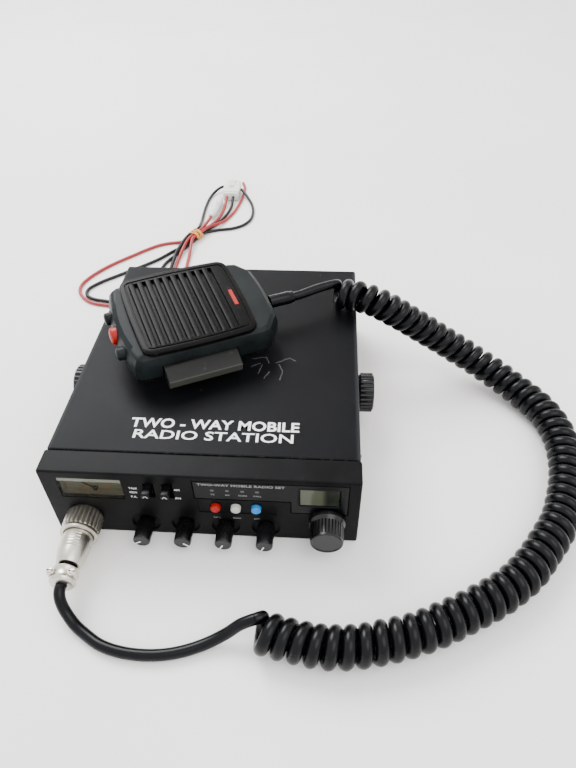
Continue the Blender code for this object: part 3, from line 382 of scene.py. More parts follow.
RED = coloured("red_plastic", (0.27, 0.004, 0.001), tone_shift=0.03, Specular_IOR_Level=0.25)
WHITE = coloured("white_plastic", (0.42, 0.41, 0.37))
BLUE = coloured("blue_plastic", (0.008, 0.16, 0.45))
PRINT = coloured("white_print", (0.80, 0.80, 0.80), 0.5, 900.0)
DIM_PRINT = coloured("grey_print", (0.20, 0.20, 0.20), 0.5, 900.0)
LENS = coloured("dim_lens", (0.030, 0.034, 0.033), 0.22)
CABLE = coloured("cable_rubber", (0.0009, 0.0011, 0.0016), 0.26, 160.0, 0.00003, 0.02,
                 Specular_IOR_Level=0.16)
RED_WIRE = coloured("red_wire", (0.27, 0.006, 0.007), 0.33)
BLACK_WIRE = coloured("black_wire", (0.0022, 0.0025, 0.0030), 0.36, tone_shift=0.02, Specular_IOR_Level=0.3)
NYLON = coloured("white_nylon", (0.72, 0.71, 0.64), 0.40, 120.0, Subsurface_Weight=0.15)
MILKY = coloured("milky_nylon", (0.72, 0.72, 0.70), 0.30, 120.0, Subsurface_Weight=0.20)
BAND = coloured("band_rubber", (0.55, 0.24, 0.030), 0.50, 400.0)
BOARD = coloured("board_green", (0.03, 0.16, 0.06), 0.5)
CONE = coloured("cone_paper", (0.045, 0.043, 0.040), 0.8)
BRASS = plated("brass_plate", (0.75, 0.55, 0.25), 0.3)
METER_PIVOT = (-0.0514, 0.0296)


def meter_card():
    """Card of the signal meter: a scale of arcs and ticks round the needle's pivot."""
    made = Finish("meter_card", (0.40, 0.36, 0.27), 0.6)
    spot = made.spot()
    x, _, z = made.axes(spot)
    px, pz = x - METER_PIVOT[0], z - METER_PIVOT[1]
    reach = (px * px + pz * pz) ** 0.5
    angle = px.maths("ARCTAN2", px, pz)
    cloud = made.noise(spot, 240.0, 3.0)
    card = made.mix(cloud.ramp(0.35, 0.75), (0.120, 0.076, 0.040), (0.070, 0.078, 0.044))
    sweep = angle.size() < 0.92
    tick = ((angle * 7.6).maths("PINGPONG", angle * 7.6, 0.5) < 0.10) * (reach > 0.0088) * (reach < 0.0101)
    arc = (reach - 0.0086).size() < 0.00016
    ink = tick.most(arc) * sweep
    card = made.mix(ink, card, (0.02, 0.02, 0.02))
    hot = ((reach - 0.0110).size() < 0.0003) * sweep * (angle > 0.25)
    made.paint("Base Color", made.mix(hot, card, (0.55, 0.06, 0.03)))
    return made


def meter_pane():
    """Clear moulded window, greyed with age, with a painted reflection as a paler strip along its top."""
    made = Finish("meter_pane", (0.22, 0.23, 0.19), 0.10, Specular_IOR_Level=0.25)
    _, _, z = made.axes(made.spot())
    low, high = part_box("meter_window")[0][2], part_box("meter_window")[1][2]
    # painted reflection: a paler, less clear strip along the pane's top
    top_reflection = z.ramp(high - 0.0026, high - 0.0018)
    made.paint("Base Color", made.mix(top_reflection, (0.035, 0.042, 0.030), (0.15, 0.165, 0.135)))
    made.paint("Alpha", 0.16 + 0.60 * top_reflection)
    return made


def display_pane():
    """The unlit display: olive grey, paler to one side, with faint clouds in its tone."""
    made = Finish("display_pane", (0.10, 0.11, 0.075), 0.14, Specular_IOR_Level=0.25)
    spot = made.spot()
    x, _, z = made.axes(spot)
    low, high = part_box("lcd_window")
    side = x.ramp(low[0] + 0.5 * (high[0] - low[0]), low[0] + 0.72 * (high[0] - low[0]))
    cloud = made.noise(spot, 90.0, 2.0)
    base = made.mix(side, (0.060, 0.066, 0.043), (0.010, 0.012, 0.009))
    made.paint("Base Color", made.mix(cloud.ramp(0.4, 0.7) * 0.25, base, (0.06, 0.066, 0.048)))
    return made


def talk_plastic():
    """Olive-grey plastic with a painted highlight on its outer face, and random paler patches."""
    made = Finish("talk_bar_plastic", (0.012, 0.0125, 0.0105), 0.36, Specular_IOR_Level=0.18)
    here = made.spot(MIC)
    _, y, _ = made.axes(here)
    cloud = made.noise(here, 160.0, 4.0, 0.65)
    # painted highlight: the outer face, past local y -0.0384, is made paler; random patches pale it too
    tone_shift = y.ramp(-0.0384, -0.0392).most(cloud.ramp(0.56, 0.80) * 0.5)
    made.paint("Base Color", made.mix(tone_shift, (0.0062, 0.0066, 0.0055), (0.038, 0.039, 0.033)))
    made.paint("Roughness", 0.30 + 0.18 * cloud)
    return made.dents(made.noise(here, 1500.0), 0.00003, 0.25)


TALK = talk_plastic()
CARD = meter_card()
METER_PANE = meter_pane()
DISPLAY_PANE = display_pane()
print("finishes in all:", len(bpy.data.materials))

# %% [markdown]
# ## Making pieces
#
# Most round parts are turned: a profile of radius and height, spun about an axis. Flat ones
# are blocks with rounded edges. The finished mesh is moved to its place and the object
# stays at the origin, so every pattern sees every piece in the same axes.


# %% Shapes
def spun(profile, steps=40, matrix=None, closed=False):
    """A turned mesh. The profile is (radius, height), down its outer side from the top."""
    bm = bmesh.new()
    rows = []
    for radius, height in profile:
        if radius < 1e-7:
            rows.append([bm.verts.new((0.0, 0.0, height))])
            continue
        angles = [2 * math.pi * i / steps for i in range(steps)]
        rows.append([bm.verts.new((radius * math.cos(a), radius * math.sin(a), height)) for a in angles])
    pairs = list(zip(rows, rows[1:]))
    if closed:
        pairs.append((rows[-1], rows[0]))
    for upper, lower in pairs:
        for i in range(steps):
            j = (i + 1) % steps
            corners = [upper[i % len(upper)], lower[i % len(lower)],
                       lower[j % len(lower)], upper[j % len(upper)]]
            corners = list(dict.fromkeys(corners))
            if len(corners) > 2:
                bm.faces.new(corners)
    bmesh.ops.recalc_face_normals(bm, faces=bm.faces)
    return to_mesh(bm, "spun", matrix)


def to_mesh(bm, name, matrix=None, crease=32.0):
    """A mesh from bmesh, moved to its place, smooth except where it turns sharply."""
    for face in bm.faces:
        face.smooth = True
    for edge in bm.edges:
        edge.smooth = len(edge.link_faces) != 2 or edge.calc_face_angle(0.0) < math.radians(crease)
    mesh = bpy.data.meshes.new(name)
    bm.to_mesh(mesh)
    bm.free()
    if matrix is not None:
        mesh.transform(matrix)
        if matrix.determinant() < 0:
            mesh.flip_normals()
    return mesh


def block(low, high, radius=0.0003, segments=3, matrix=None):
    """A block between two corners with rounded edges."""
    low, high = Vector(low), Vector(high)
    bm = bmesh.new()
    bmesh.ops.create_cube(bm, size=1.0)
    bmesh.ops.scale(bm, vec=high - low, verts=bm.verts)
    bmesh.ops.translate(bm, vec=(low + high) / 2, verts=bm.verts)
    if radius:
        bmesh.ops.bevel(bm, geom=bm.edges[:], offset=radius, segments=segments, affect="EDGES", profile=0.5)
    return to_mesh(bm, "block", matrix)


def superellipse(half_x, half_y, power, count=96):
    """A closed outline between an ellipse (power 2) and a rectangle."""
    points = []
    for i in range(count):
        a = 2 * math.pi * (i + 0.5) / count
        c, s = math.cos(a), math.sin(a)
        points.append((half_x * math.copysign(abs(c) ** (2 / power), c),
                       half_y * math.copysign(abs(s) ** (2 / power), s)))
    return points


def barrel(half_x, half_y, corner, bulge, count=20):
    """A closed rectangle with round corners whose four sides bow outwards by bulge."""
    points = []
    for quarter, (sx, sy) in enumerate(((1, 1), (-1, 1), (-1, -1), (1, -1))):
        for i in range(count + 1):
            a = math.pi / 2 * (quarter + i / count)
            points.append([sx * (half_x - corner) + corner * math.cos(a),
                           sy * (half_y - corner) + corner * math.sin(a)])
        for i in range(1, count):
            t = i / count
            run = (half_x - corner) * (1 - 2 * t) if quarter % 2 == 0 else (half_y - corner) * (1 - 2 * t)
            points.append([run * sx, half_y * sy] if quarter % 2 == 0 else [half_x * sx, run * sy])
    return [(x - math.copysign(bulge, x) * (y / half_y) ** 2,
             y - math.copysign(bulge, y) * (x / half_x) ** 2) for x, y in points]


def lofted(rings, matrix=None, caps=(True, True), crease=32.0):
    """A skin through rings of the same number of points, each a list of (x, y, z)."""
    bm = bmesh.new()
    rows = [[bm.verts.new(point) for point in ring] for ring in rings]
    count = len(rows[0])
    for low, high in zip(rows, rows[1:]):
        for i in range(count):
            j = (i + 1) % count
            bm.faces.new((low[i], low[j], high[j], high[i]))
    if caps[0]:
        bm.faces.new(list(reversed(rows[0])))
    if caps[1]:
        bm.faces.new(rows[-1])
    bmesh.ops.recalc_face_normals(bm, faces=bm.faces)
    return to_mesh(bm, "lofted", matrix, crease)


def tube_along(path, radius, sides=12, ends=(None, None), ramp=6):
    """A closed round tube along a list of points, without twisting; ends may be thinner."""
    points = [Vector(p) for p in path]
    rings = []
    across = None
    last = len(points) - 1
    for i, point in enumerate(points):
        here = radius
        for thin, away in zip(ends, (i, last - i)):
            if thin is not None and away < ramp:
                here = thin + (radius - thin) * away / ramp
        ahead = (points[min(i + 1, len(points) - 1)] - points[max(i - 1, 0)]).normalized()
        if across is None:
            across = ahead.orthogonal().normalized()
        across = (across - ahead * across.dot(ahead)).normalized()
        other = ahead.cross(across)
        ring = []
        for k in range(sides):
            a = 2 * math.pi * k / sides
            ring.append(point + here * (math.cos(a) * across + math.sin(a) * other))
        rings.append(ring)
    return lofted(rings, crease=60.0)


def joined(name, parts):
    """One mesh from (mesh, finish) pairs; each finish keeps its own faces."""
    whole = bmesh.new()
    finishes = []
    for mesh, finish in parts:
        if finish not in finishes:
            finishes.append(finish)
        first = len(whole.faces)
        whole.from_mesh(mesh)
        whole.faces.ensure_lookup_table()
        for face in whole.faces[first:]:
            face.material_index = finishes.index(finish)
        bpy.data.meshes.remove(mesh)
    result = bpy.data.meshes.new(name)
    whole.to_mesh(result)
    whole.free()
    for finish in finishes:
        result.materials.append(finish.material)
    return result


def keep(name, mesh, body, finish=None, stands_for=()):
    """Put a finished mesh in the scene, on its body, in place of its plain nodes."""
    if finish is not None:
        mesh.materials.clear()
        mesh.materials.append(finish.material)
    mesh.name = name
    piece = bpy.data.objects.new(name, mesh)
    bpy.context.scene.collection.objects.link(piece)
    if body is not None:
        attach(piece, body)
    if stands_for:
        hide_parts(*stands_for)
    print(f"{name}: {len(mesh.polygons)} faces")
    return piece


def evaluated(obj):
    """A plain mesh of an object with its modifiers done; the object is removed."""
    bpy.context.view_layer.update()
    graph = bpy.context.evaluated_depsgraph_get()
    mesh = bpy.data.meshes.new_from_object(obj.evaluated_get(graph))
    bpy.data.objects.remove(obj)
    return mesh


def refined(node, width, segments=2):
    """A copy of a plain node with its flat faces merged and its outward edges rounded."""
    mesh = NODES[node].data.copy()
    bm = bmesh.new()
    bm.from_mesh(mesh)
    bmesh.ops.remove_doubles(bm, verts=bm.verts, dist=0.000002)
    bmesh.ops.dissolve_limit(bm, angle_limit=math.radians(1.0), verts=bm.verts, edges=bm.edges)
    weight = bm.edges.layers.float.new("bevel_weight_edge")
    for edge in bm.edges:
        outward = len(edge.link_faces) == 2 and edge.calc_face_angle_signed() > math.radians(32.0)
        edge[weight] = 1.0 if outward else 0.0
    bm.to_mesh(mesh)
    bm.free()
    mesh.polygons.foreach_set("use_smooth", [True] * len(mesh.polygons))
    work = bpy.data.objects.new("work", mesh)
    bpy.context.scene.collection.objects.link(work)
    rounding = work.modifiers.new("rounding", "BEVEL")
    rounding.width = width
    rounding.segments = segments
    rounding.limit_method = "WEIGHT"
    even = work.modifiers.new("even", "WEIGHTED_NORMAL")
    even.keep_sharp = True
    return evaluated(work)


# %% [markdown]
# ## Repeated ribs by Geometry Nodes
#
# Grips repeat one rib round a circle or along a line. A node tree says this once, with its
# sizes as named inputs, and is then used for the coupling nut, the knobs, the thumbscrews
# and the microphone's grille. The result is turned into a plain mesh straight away.


# %% Two trees of ribs
def socket(tree, name, kind):
    return tree.interface.new_socket(name=name, in_out="INPUT", socket_type="NodeSocket" + kind)


def rib_tree(name, sizes):
    """A tree with named inputs and an output that its maker fills."""
    tree = bpy.data.node_groups.new(name, "GeometryNodeTree")
    for word, kind in sizes:
        socket(tree, word, kind)
    tree.interface.new_socket(name="Geometry", in_out="OUTPUT", socket_type="NodeSocketGeometry")
    inlet = tree.nodes.new("NodeGroupInput")

    def add(kind, settings=None, **links):
        node = tree.nodes.new(kind)
        for word, setting in (settings or {}).items():
            setattr(node, word, setting)
        for word, value in links.items():
            slot = node.inputs[word.replace("_", " ")]
            if isinstance(value, bpy.types.NodeSocket):
                tree.links.new(value, slot)
            else:
                slot.default_value = value
        return node

    def close(points, rib):
        set_out = add("GeometryNodeInstanceOnPoints", Points=points, Instance=rib)
        real = add("GeometryNodeRealizeInstances", Geometry=set_out.outputs[0])
        coat = add("GeometryNodeSetMaterial", Geometry=real.outputs[0], Material=inlet.outputs["Finish"])
        outlet = tree.nodes.new("NodeGroupOutput")
        tree.links.new(coat.outputs[0], outlet.inputs[0])
        return tree

    return inlet.outputs, add, close


def ring_tree():
    """Round ribs that stand round a circle, along Z."""
    words = [("Count", "Int"), ("Ring radius", "Float"), ("Rib radius", "Float"), ("Length", "Float"),
             ("Finish", "Material")]
    given, add, close = rib_tree("ribs_round_a_circle", words)
    circle = add("GeometryNodeMeshCircle", Vertices=given["Count"], Radius=given["Ring radius"])
    rib = add("GeometryNodeMeshCylinder", Vertices=10, Radius=given["Rib radius"], Depth=given["Length"])
    return close(circle.outputs[0], rib.outputs[0])


def row_tree():
    """Ribs with rounded corners that lie side by side in a row along X."""
    words = [("Count", "Int"), ("First", "Vector"), ("Step", "Vector"), ("Half length", "Vector"),
             ("Width", "Float"), ("Height", "Float"), ("Rounding", "Float"), ("Finish", "Material")]
    given, add, close = rib_tree("ribs_in_a_row", words)
    line = add("GeometryNodeMeshLine", {"mode": "OFFSET"}, Count=given["Count"],
               Start_Location=given["First"], Offset=given["Step"])
    back = add("ShaderNodeVectorMath", {"operation": "SCALE"}, Vector=given["Half length"], Scale=-1.0)
    spine = add("GeometryNodeCurvePrimitiveLine", Start=back.outputs[0], End=given["Half length"])
    outline = add("GeometryNodeCurvePrimitiveQuadrilateral", Width=given["Width"], Height=given["Height"])
    round_off = add("GeometryNodeFilletCurve", {"mode": "POLY"}, Curve=outline.outputs[0],
                    Radius=given["Rounding"], Count=3)
    rib = add("GeometryNodeCurveToMesh", Curve=spine.outputs[0], Profile_Curve=round_off.outputs[0],
              Fill_Caps=True)
    return close(line.outputs[0], rib.outputs[0])


def grown(tree, matrix=None, **sizes):
    """Run a tree with these inputs and return its mesh, smooth and in place."""
    work = bpy.data.objects.new("work", bpy.data.meshes.new("work"))
    bpy.context.scene.collection.objects.link(work)
    mod = work.modifiers.new("ribs", "NODES")
    mod.node_group = tree
    for item in tree.interface.items_tree:
        word = item.name.replace(" ", "_")
        if item.in_out == "INPUT" and word in sizes:
            mod[item.identifier] = sizes[word]
    mesh = evaluated(work)
    bm = bmesh.new()
    bm.from_mesh(mesh)
    bpy.data.meshes.remove(mesh)
    bmesh.ops.recalc_face_normals(bm, faces=bm.faces)
    return to_mesh(bm, "ribs", matrix, 50.0)


RING = ring_tree()
ROW = row_tree()
print("rib trees:", RING.name, ROW.name)

# %% [markdown]
# ## Cords
#
# The microphone's cord is one cable: straight out of the plug, wound into a curly stretch,
# and into the microphone. Its route is a short list of points and a loop for the turns. A
# centripetal curve through the points keeps it smooth, as a real cable lies.

# %% Routes
CABLE_R = 0.0026
COIL_CABLE_R = 0.0031
MIC_CORD_ROUTE = [
    (-0.0585, -0.1243, 0.0135), (-0.0585, -0.1262, 0.0135), (-0.0580, -0.1288, 0.0122),
    (-0.0568, -0.1312, 0.0093), (-0.0548, -0.1334, 0.0064), (-0.0506, -0.1371, 0.0036),
    (-0.0445, -0.1410, 0.0027), (-0.0372, -0.1450, 0.0027), (-0.0285, -0.1474, 0.0027),
    (-0.0188, -0.1483, 0.0027), (-0.0100, -0.1478, 0.0027), (-0.0019, -0.1461, 0.0027),
    (0.0080, -0.1426, 0.0034), (0.0170, -0.1388, 0.0062), (0.0240, -0.1362, 0.0110),
    (0.0297, -0.1348, 0.0150),
]
COIL_ROUTE = [
    (0.0306, -0.1383, 0.0095), (0.0461, -0.1417, 0.0095), (0.0592, -0.1435, 0.0095),
    (0.0721, -0.1428, 0.0095), (0.0865, -0.1395, 0.0095), (0.1002, -0.1352, 0.0095),
    (0.1128, -0.1294, 0.0095), (0.1255, -0.1226, 0.0095), (0.1391, -0.1144, 0.0095),
    (0.1514, -0.1042, 0.0095), (0.1631, -0.0900, 0.0095), (0.1732, -0.0755, 0.0095),
    (0.1817, -0.0557, 0.0095), (0.1866, -0.0360, 0.0095), (0.1870, -0.0171, 0.0095),
    (0.1825, 0.0005, 0.0095), (0.1731, 0.0150, 0.0098), (0.1600, 0.0272, 0.0130),
    (0.1396, 0.0370, 0.0215), (0.1165, 0.0410, 0.0345), (0.0960, 0.0412, 0.0478),
    (0.0864, 0.0414, 0.0532), (0.0780, 0.0425, 0.0558), (0.0705, 0.0445, 0.0558),
    (0.0606, 0.0458, 0.0558),
]
MIC_TAIL_ROUTE = [
    (0.0354, 0.0337, 0.0612), (0.0399, 0.0360, 0.0610), (0.0452, 0.0393, 0.0611),
    (0.0520, 0.0436, 0.0613), (0.0600, 0.0463, 0.0606),
]
TURNS = 57.91
TURN_R = 0.0063
FIRST_TURN = -0.56          # angle of the first turn
TABLE_GAP = 0.0003          # the turns lie this far above the table
SEAM_X = 0.1600             # where the resting turns meet the ones that lift


def smooth_route(points, spacing):
    """Even points on a smooth curve through the chosen ones."""
    pts = [Vector(point) for point in points]
    pts = [2 * pts[0] - pts[1]] + pts + [2 * pts[-1] - pts[-2]]
    fine = []
    for a, b, c, d in zip(pts, pts[1:], pts[2:], pts[3:]):
        ka = math.sqrt((b - a).length)
        kb = ka + math.sqrt((c - b).length)
        kc = kb + math.sqrt((d - c).length)
        parts = max(4, math.ceil((c - b).length / spacing * 3))
        for i in range(parts):
            t = ka + (kb - ka) * i / parts
            p1 = a * (ka - t) / ka + b * t / ka
            p2 = b * (kb - t) / (kb - ka) + c * (t - ka) / (kb - ka)
            p3 = c * (kc - t) / (kc - kb) + d * (t - kb) / (kc - kb)
            q1 = p1 * (kb - t) / kb + p2 * t / kb
            q2 = p2 * (kc - t) / (kc - ka) + p3 * (t - ka) / (kc - ka)
            fine.append(q1 * (kb - t) / (kb - ka) + q2 * (t - ka) / (kb - ka))
    fine.append(pts[-2])
    total = length_of(fine)
    count = max(2, round(total / spacing))
    step = total / count
    even = [fine[0]]
    walked = 0.0
    for a, b in zip(fine, fine[1:]):
        part = (b - a).length
        while len(even) < count and walked + part >= step * len(even):
            even.append(a + (b - a) * (step * len(even) - walked) / part)
        walked += part
    even.append(fine[-1])
    return even


def length_of(points):
    return sum((b - a).length for a, b in zip(points, points[1:]))


def wound(route, turns, radius, begin, per_turn=16):
    """Points of a left-hand coil round a route; the first turns lean, as they are pulled."""
    axis = smooth_route(route, 0.0005)
    count = round(turns * per_turn)
    points = []
    for k in range(count + 1):
        place = k / count * (len(axis) - 1)
        i = min(int(place), len(axis) - 2)
        centre = axis[i].lerp(axis[i + 1], place - i)
        ahead = (axis[i + 1] - axis[i]).normalized()
        up = (Vector((0, 0, 1)) - ahead * ahead.z).normalized()
        side = ahead.cross(up)
        turn = begin - 2 * math.pi * k / per_turn
        done = k / per_turn
        lean = -0.10 + 0.30 * math.exp(-done / 1.5) + 0.04 * math.sin(0.37 * done)
        swell = radius * (1.0 + 0.012 * math.sin(1.7 * done))
        offset = swell * 0.985 * (math.cos(turn) * up + math.sin(turn) * side)
        points.append(centre + offset + ahead * lean * radius * math.cos(turn))
    return points


# %% The microphone's cord
def mic_cord_points():
    """Even points along the whole cord, from the plug to the microphone."""
    coil = wound(COIL_ROUTE, TURNS, TURN_R, FIRST_TURN)
    for point in coil:
        point.z = max(point.z, COIL_CABLE_R + TABLE_GAP)
    start = [Vector(p) for p in MIC_CORD_ROUTE[:-1]]
    end = [Vector(p) for p in MIC_TAIL_ROUTE[-2::-1]]
    return smooth_route(start + coil[1:-2] + end, 0.0017)


def nearest(path, place):
    """The index of the path's point that is nearest to a place."""
    place = Vector(place)
    return min(range(len(path)), key=lambda i: (path[i] - place).length)


# %% [markdown]
# The cord is made as four tubes that meet end to end: a straight end, the turns on the table,
# the turns by the microphone and the last few centimetres into it. The jacket is thicker
# where it is coiled.

# %% Four lengths of the same cord
MIC_CORD = mic_cord_points()
COIL_FIRST = nearest(MIC_CORD, MIC_CORD_ROUTE[-1])
SEAM = max(i for i, point in enumerate(MIC_CORD) if point.x > SEAM_X)
COIL_LAST = nearest(MIC_CORD, MIC_TAIL_ROUTE[-1]) - 4
LENGTHS = {"straight": MIC_CORD[:COIL_FIRST + 1], "resting": MIC_CORD[COIL_FIRST:SEAM + 1],
           "lifted": MIC_CORD[SEAM:COIL_LAST + 1], "tail": MIC_CORD[COIL_LAST:]}
cords = {}


def make_cord(part, radius, ends, body, stands_for):
    """One length of the cord; ends are the radii that it thins to, or None."""
    tube = tube_along(LENGTHS[part], radius, 16, ends)
    cords[part] = keep(f"microphone_cord_{part}", tube, body, CABLE, stands_for)
    print(f"  {length_of(LENGTHS[part]):.3f} m")


make_cord("straight", CABLE_R, (None, None), "set", ("mic_cord_straight",))
make_cord("resting", COIL_CABLE_R, (CABLE_R, None), "set", ("mic_cord_coil",))
make_cord("lifted", COIL_CABLE_R, (None, CABLE_R), None, ("mic_cord_coil",))
make_cord("tail", CABLE_R, (None, None), None, ("mic_cord_tail",))
for part in ("lifted", "tail"):
    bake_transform(cords[part])
print(f"the whole cord is {length_of(MIC_CORD):.3f} m")

# %% [markdown]
# ## Power lead
#
# The power lead is four thin wires. Two come out of the set, and two belong to the lead
# that is plugged to them and folded back on itself. A rubber band holds them where they
# cross.

# %% Power wires
WIRE_R = 0.0013
SET_RED_ROUTE = [
    (-0.0485, 0.0923, 0.0120), (-0.0485, 0.0950, 0.0119), (-0.0505, 0.1050, 0.0092),
    (-0.0545, 0.1170, 0.0056), (-0.0585, 0.1300, 0.0024), (-0.0615, 0.1420, 0.0013),
    (-0.0626, 0.1550, 0.0013), (-0.0624, 0.1650, 0.0016), (-0.0616, 0.1740, 0.0029),
    (-0.0602, 0.1840, 0.0044), (-0.0579, 0.1939, 0.0051), (-0.0543, 0.2011, 0.0051),
    (-0.0507, 0.2083, 0.0051), (-0.0490, 0.2140, 0.0050), (-0.0475, 0.2210, 0.0048),
    (-0.0464, 0.2270, 0.0046), (-0.0461, 0.2306, 0.0045),
]
SET_BLACK_ROUTE = [
    (-0.0515, 0.0923, 0.0120), (-0.0516, 0.0950, 0.0119), (-0.0540, 0.1045, 0.0095),
    (-0.0583, 0.1160, 0.0059), (-0.0625, 0.1290, 0.0026), (-0.0655, 0.1420, 0.0013),
    (-0.0662, 0.1550, 0.0013), (-0.0659, 0.1640, 0.0022), (-0.0652, 0.1730, 0.0039),
    (-0.0636, 0.1820, 0.0044), (-0.0605, 0.1952, 0.0051), (-0.0569, 0.2024, 0.0051),
    (-0.0533, 0.2096, 0.0051), (-0.0532, 0.2180, 0.0036), (-0.0537, 0.2280, 0.0017),
    (-0.0543, 0.2430, 0.0013), (-0.0543, 0.2560, 0.0013), (-0.0535, 0.2690, 0.0014),
    (-0.0513, 0.2790, 0.0020), (-0.0475, 0.2857, 0.0034), (-0.0435, 0.2879, 0.0047),
    (-0.0414, 0.2880, 0.0048),
]
LEAD_RED_ROUTE = [
    (-0.0368, 0.2676, 0.0046), (-0.0368, 0.2640, 0.0042), (-0.0373, 0.2540, 0.0018),
    (-0.0386, 0.2400, 0.0013), (-0.0418, 0.2275, 0.0013), (-0.0458, 0.2203, 0.0013),
    (-0.0502, 0.2148, 0.0015), (-0.0533, 0.2096, 0.0023), (-0.0569, 0.2024, 0.0023),
    (-0.0598, 0.1966, 0.0023), (-0.0652, 0.1925, 0.0016), (-0.0730, 0.1911, 0.0013),
    (-0.0829, 0.1869, 0.0013), (-0.1014, 0.1697, 0.0013), (-0.1171, 0.1526, 0.0013),
    (-0.1268, 0.1369, 0.0013), (-0.1297, 0.1269, 0.0013), (-0.1281, 0.1178, 0.0013),
    (-0.1216, 0.1093, 0.0013), (-0.1143, 0.1047, 0.0013), (-0.1043, 0.1025, 0.0013),
    (-0.0920, 0.1010, 0.0013), (-0.0760, 0.1005, 0.0013), (-0.0630, 0.1030, 0.0013),
    (-0.0556, 0.1110, 0.0013), (-0.0530, 0.1240, 0.0013), (-0.0534, 0.1420, 0.0013),
    (-0.0543, 0.1600, 0.0013), (-0.0548, 0.1740, 0.0022), (-0.0553, 0.1850, 0.0043),
    (-0.0553, 0.1926, 0.0051), (-0.0517, 0.1998, 0.0051), (-0.0481, 0.2070, 0.0051),
    (-0.0443, 0.2145, 0.0044), (-0.0386, 0.2210, 0.0030), (-0.0330, 0.2310, 0.0015),
    (-0.0285, 0.2430, 0.0013), (-0.0256, 0.2560, 0.0013), (-0.0237, 0.2700, 0.0013),
    (-0.0229, 0.2840, 0.0013), (-0.0236, 0.2950, 0.0013), (-0.0262, 0.3035, 0.0013),
]
LEAD_BLACK_ROUTE = [
    (-0.0310, 0.2676, 0.0046), (-0.0310, 0.2640, 0.0042), (-0.0312, 0.2560, 0.0019),
    (-0.0330, 0.2440, 0.0013), (-0.0365, 0.2320, 0.0013), (-0.0412, 0.2220, 0.0013),
    (-0.0467, 0.2140, 0.0015), (-0.0507, 0.2083, 0.0023), (-0.0543, 0.2011, 0.0023),
    (-0.0579, 0.1939, 0.0023), (-0.0615, 0.1880, 0.0015), (-0.0660, 0.1820, 0.0013),
    (-0.0705, 0.1765, 0.0013), (-0.0775, 0.1669, 0.0013), (-0.0882, 0.1561, 0.0013),
    (-0.1021, 0.1440, 0.0013), (-0.1175, 0.1300, 0.0013), (-0.1229, 0.1215, 0.0013),
    (-0.1215, 0.1140, 0.0013), (-0.1155, 0.1098, 0.0013), (-0.1070, 0.1078, 0.0013),
    (-0.0950, 0.1062, 0.0013), (-0.0845, 0.1085, 0.0013), (-0.0770, 0.1180, 0.0013),
    (-0.0737, 0.1350, 0.0013), (-0.0729, 0.1540, 0.0013), (-0.0710, 0.1620, 0.0013),
    (-0.0672, 0.1700, 0.0013), (-0.0625, 0.1795, 0.0013), (-0.0585, 0.1870, 0.0016),
    (-0.0553, 0.1926, 0.0023), (-0.0517, 0.1998, 0.0023), (-0.0481, 0.2070, 0.0023),
    (-0.0442, 0.2108, 0.0015), (-0.0360, 0.2142, 0.0013), (-0.0257, 0.2168, 0.0013),
    (-0.0171, 0.2226, 0.0013), (-0.0118, 0.2320, 0.0013), (-0.0107, 0.2460, 0.0013),
    (-0.0132, 0.2600, 0.0014), (-0.0168, 0.2690, 0.0020), (-0.0210, 0.2760, 0.0040),
    (-0.0252, 0.2822, 0.0052),
]


def make_wire(name, route, finish, node):
    """A wire as a mesh tube, and the path that it follows."""
    path = smooth_route(route, 0.0022)
    return keep(name, tube_along(path, WIRE_R, 10), "set", finish, (node,)), path


set_red = make_wire("supply_wire_red", SET_RED_ROUTE, RED_WIRE, "set_wire_red")
set_black = make_wire("supply_wire_black", SET_BLACK_ROUTE, BLACK_WIRE, "set_wire_black")
lead_red = make_wire("folded_wire_red", LEAD_RED_ROUTE, RED_WIRE, "lead_wire_red")
lead_black = make_wire("folded_wire_black", LEAD_BLACK_ROUTE, BLACK_WIRE, "lead_wire_black")
for piece, path in (set_red, set_black, lead_red, lead_black):
    print(f"{piece.name}: {length_of(path):.3f} m")


# %% [markdown]
# A rubber band holds the bundle, the fuse holder is a milky turned barrel on the set's red
# wire, and the nylon connector, made of blocks, is where the lead's own wires start.


# %% Band, fuse holder and connector
def make_band():
    """A rubber band wound several times round the bundle, each turn a little askew."""
    low, high = (Vector(v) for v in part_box("wire_band"))
    middle = Vector((-0.0543, 0.2011, (low.z + high.z) / 2))
    turn = Matrix.Translation(middle) @ Matrix.Rotation(math.radians(-26.6), 4, "Z")
    turns, per_turn = 6, 28
    path = []
    for k in range(turns * per_turn + 1):
        a = 2 * math.pi * k / per_turn
        done = k / per_turn
        along = -0.0040 + 0.0080 * done / turns + 0.0009 * math.sin(a + 2.1 * done)
        power = 0.75
        x = 0.0047 * math.copysign(abs(math.cos(a)) ** power, math.cos(a))
        z = 0.0029 * math.copysign(abs(math.sin(a)) ** power, math.sin(a))
        path.append(turn @ Vector((x * (1 + 0.02 * math.sin(done * 5)), along, z)))
    return keep("bundle_band", tube_along(path, 0.00075, 8), "set", BAND, ("wire_band",))


def make_fuse_holder():
    """In-line fuse holder: a milky barrel in two halves, with a ribbed collar where they meet."""
    start, end = Vector((-0.0460, 0.2310, 0.0044)), Vector((-0.0425, 0.2665, 0.0044))
    long = (end - start).length
    aim = Matrix.Translation(start) @ (end - start).to_track_quat("Z", "Y").to_matrix().to_4x4()
    profile = [(0.0, long), (0.0019, long), (0.0024, long - 0.0006), (0.0030, long - 0.0040),
               (0.0037, long - 0.0050), (0.0038, 0.0215), (0.0042, 0.0210), (0.0042, 0.0175),
               (0.0039, 0.0170), (0.0038, 0.0055), (0.0031, 0.0045), (0.0025, 0.0006), (0.0019, 0.0),
               (0.0, 0.0)]
    body = (spun(profile, 36, aim), MILKY)
    grips = (grown(RING, aim @ Matrix.Translation((0, 0, 0.0193)), Count=18, Ring_radius=0.0038,
                   Rib_radius=0.0004, Length=0.0030, Finish=MILKY.material), MILKY)
    return keep("fuse_holder_barrel", joined("fuse", [body, grips]), "set", None,
                ("fuse_holder",))


